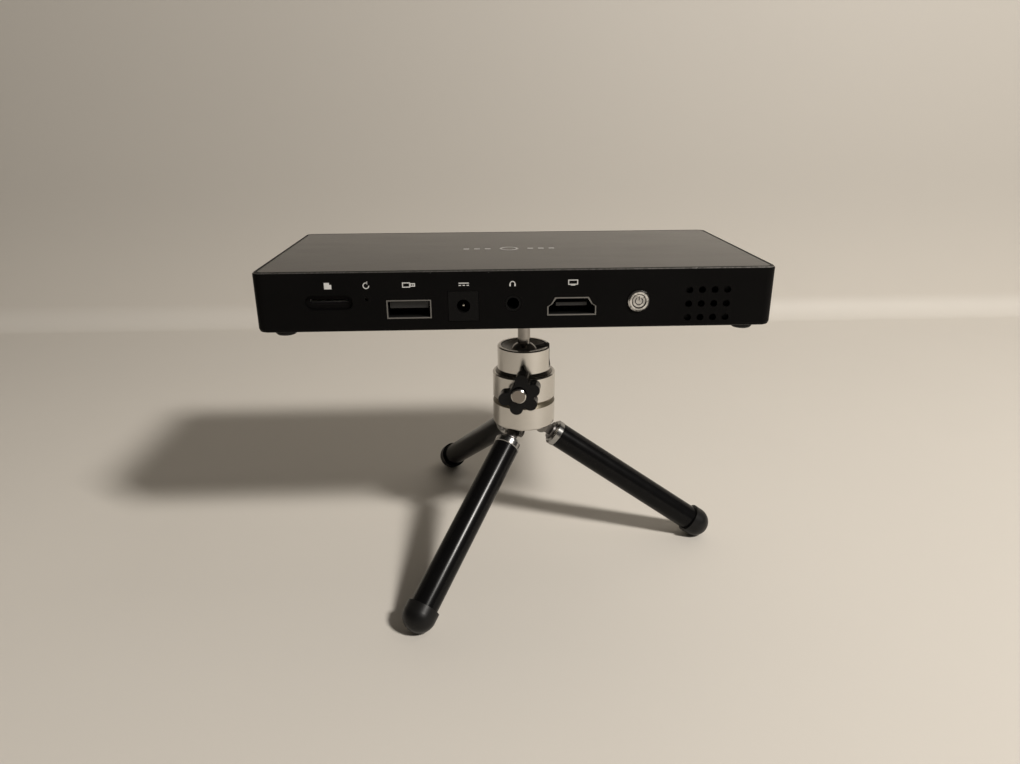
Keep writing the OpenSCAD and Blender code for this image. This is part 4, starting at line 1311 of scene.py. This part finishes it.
def makeInk(name, colour, s):
    f = Finish(name)
    patchy = f.noise(*s["patches"])
    return f.shade(
        Base_Color=f.mix(patchy * s["patchTint"], colour, scaled(colour, s["darker"])),
        Roughness=patchy * s["patchRough"] + s["rough"],
        Normal=f.bump(patchy, *s["bump"]))


faceForward = Matrix.Rotation(math.radians(90), 4, "X")
sunk = printSettings["sunk"] * mm

whiteInk = makeInk("whiteInk", printSettings["white"], printSettings)
for markName, mark in marks.items():
    spot = (caseMid.x + mark["x"] * mm, frontY + sunk, frameLow.z + mark["z"] * mm)
    makeMark(markName, mark, Matrix.Translation(spot) @ faceForward, whiteInk, "projector")

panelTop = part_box("top_panel")[1].z
topX, topY = topMark["place"]
topSpot = (caseMid.x + topX * mm, topY * mm, panelTop - sunk)
greyInk = makeInk("greyInk", printSettings["grey"], printSettings)
makeMark("topMark", topMark, Matrix.Translation(topSpot), greyInk, "projector")

buttonMid = middleOf("power_button")
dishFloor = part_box("power_button")[0].y + powerMark["dish"] * mm
powerSpot = (buttonMid.x, dishFloor + sunk, buttonMid.z)
powerPlace = Matrix.Translation(powerSpot) @ faceForward
darkInk = makeInk("darkInk", printSettings["dark"], printSettings)
makeMark("powerMark", powerMark, powerPlace, darkInk, "power_button")
print("pictograms:", len(marks) + 2)


sweepSettings = {
    "half": 1.7,
    "wallY": 0.315,
    "height": 1.5,
    "curve": 0.018,
    "curveSteps": 12,
    "colour": (0.62, 0.585, 0.53),
    "mottle": (9, 5, 0.6),
    "mottleTint": 0.25,
    "mottleDark": 0.86,
    "wallShadeDarker": 0.80,
    "wallFrom": 0.12,  # m above the floor, from where the wall is darker all over, as painted shade
    "rough": 0.55,
    "mottleRough": 0.15,
    "grain": (900, 4),
    "grainBump": (0.04, 0.5),
}


def makeSweep(s):
    # the floor and the wall behind it, as one sheet with a curve between them
    clearSelection()
    bpy.ops.mesh.primitive_plane_add(size=1)
    sweep = bpy.context.object
    sweep.name = "paperSweep"
    for spot in sweep.data.vertices:
        spot.co.x *= 2 * s["half"]
        spot.co.y = s["wallY"] if spot.co.y > 0 else -s["half"]
    pickEdges(sweep, lambda a, b: a.y > 0 and b.y > 0)
    bpy.ops.mesh.extrude_region_move(TRANSFORM_OT_translate={"value": (0, 0, s["height"])})
    pickEdges(sweep, lambda a, b: min(a.y, b.y) > 0 and max(a.z, b.z) < mm)
    bpy.ops.mesh.bevel(offset=s["curve"], segments=s["curveSteps"])
    bpy.ops.object.mode_set(mode="OBJECT")
    bpy.ops.object.shade_smooth()
    sweep.data.materials.append(makePaper(s))


def makePaper(s):
    f = Finish("paper")
    mottle = f.noise(*s["mottle"])
    colour = f.mix(mottle * s["mottleTint"], s["colour"], scaled(s["colour"], s["mottleDark"]))
    # painted shade: the wall is coloured darker than the floor
    wallShade = f.rise(f.z, 0.0, s["wallFrom"])
    return f.shade(
        Base_Color=f.mix(wallShade, colour, scaled(s["colour"], s["wallShadeDarker"])),
        Roughness=mottle * s["mottleRough"] + s["rough"],
        Normal=f.bump(f.noise(*s["grain"]), *s["grainBump"]))


makeSweep(sweepSettings)
print("sweep: set")
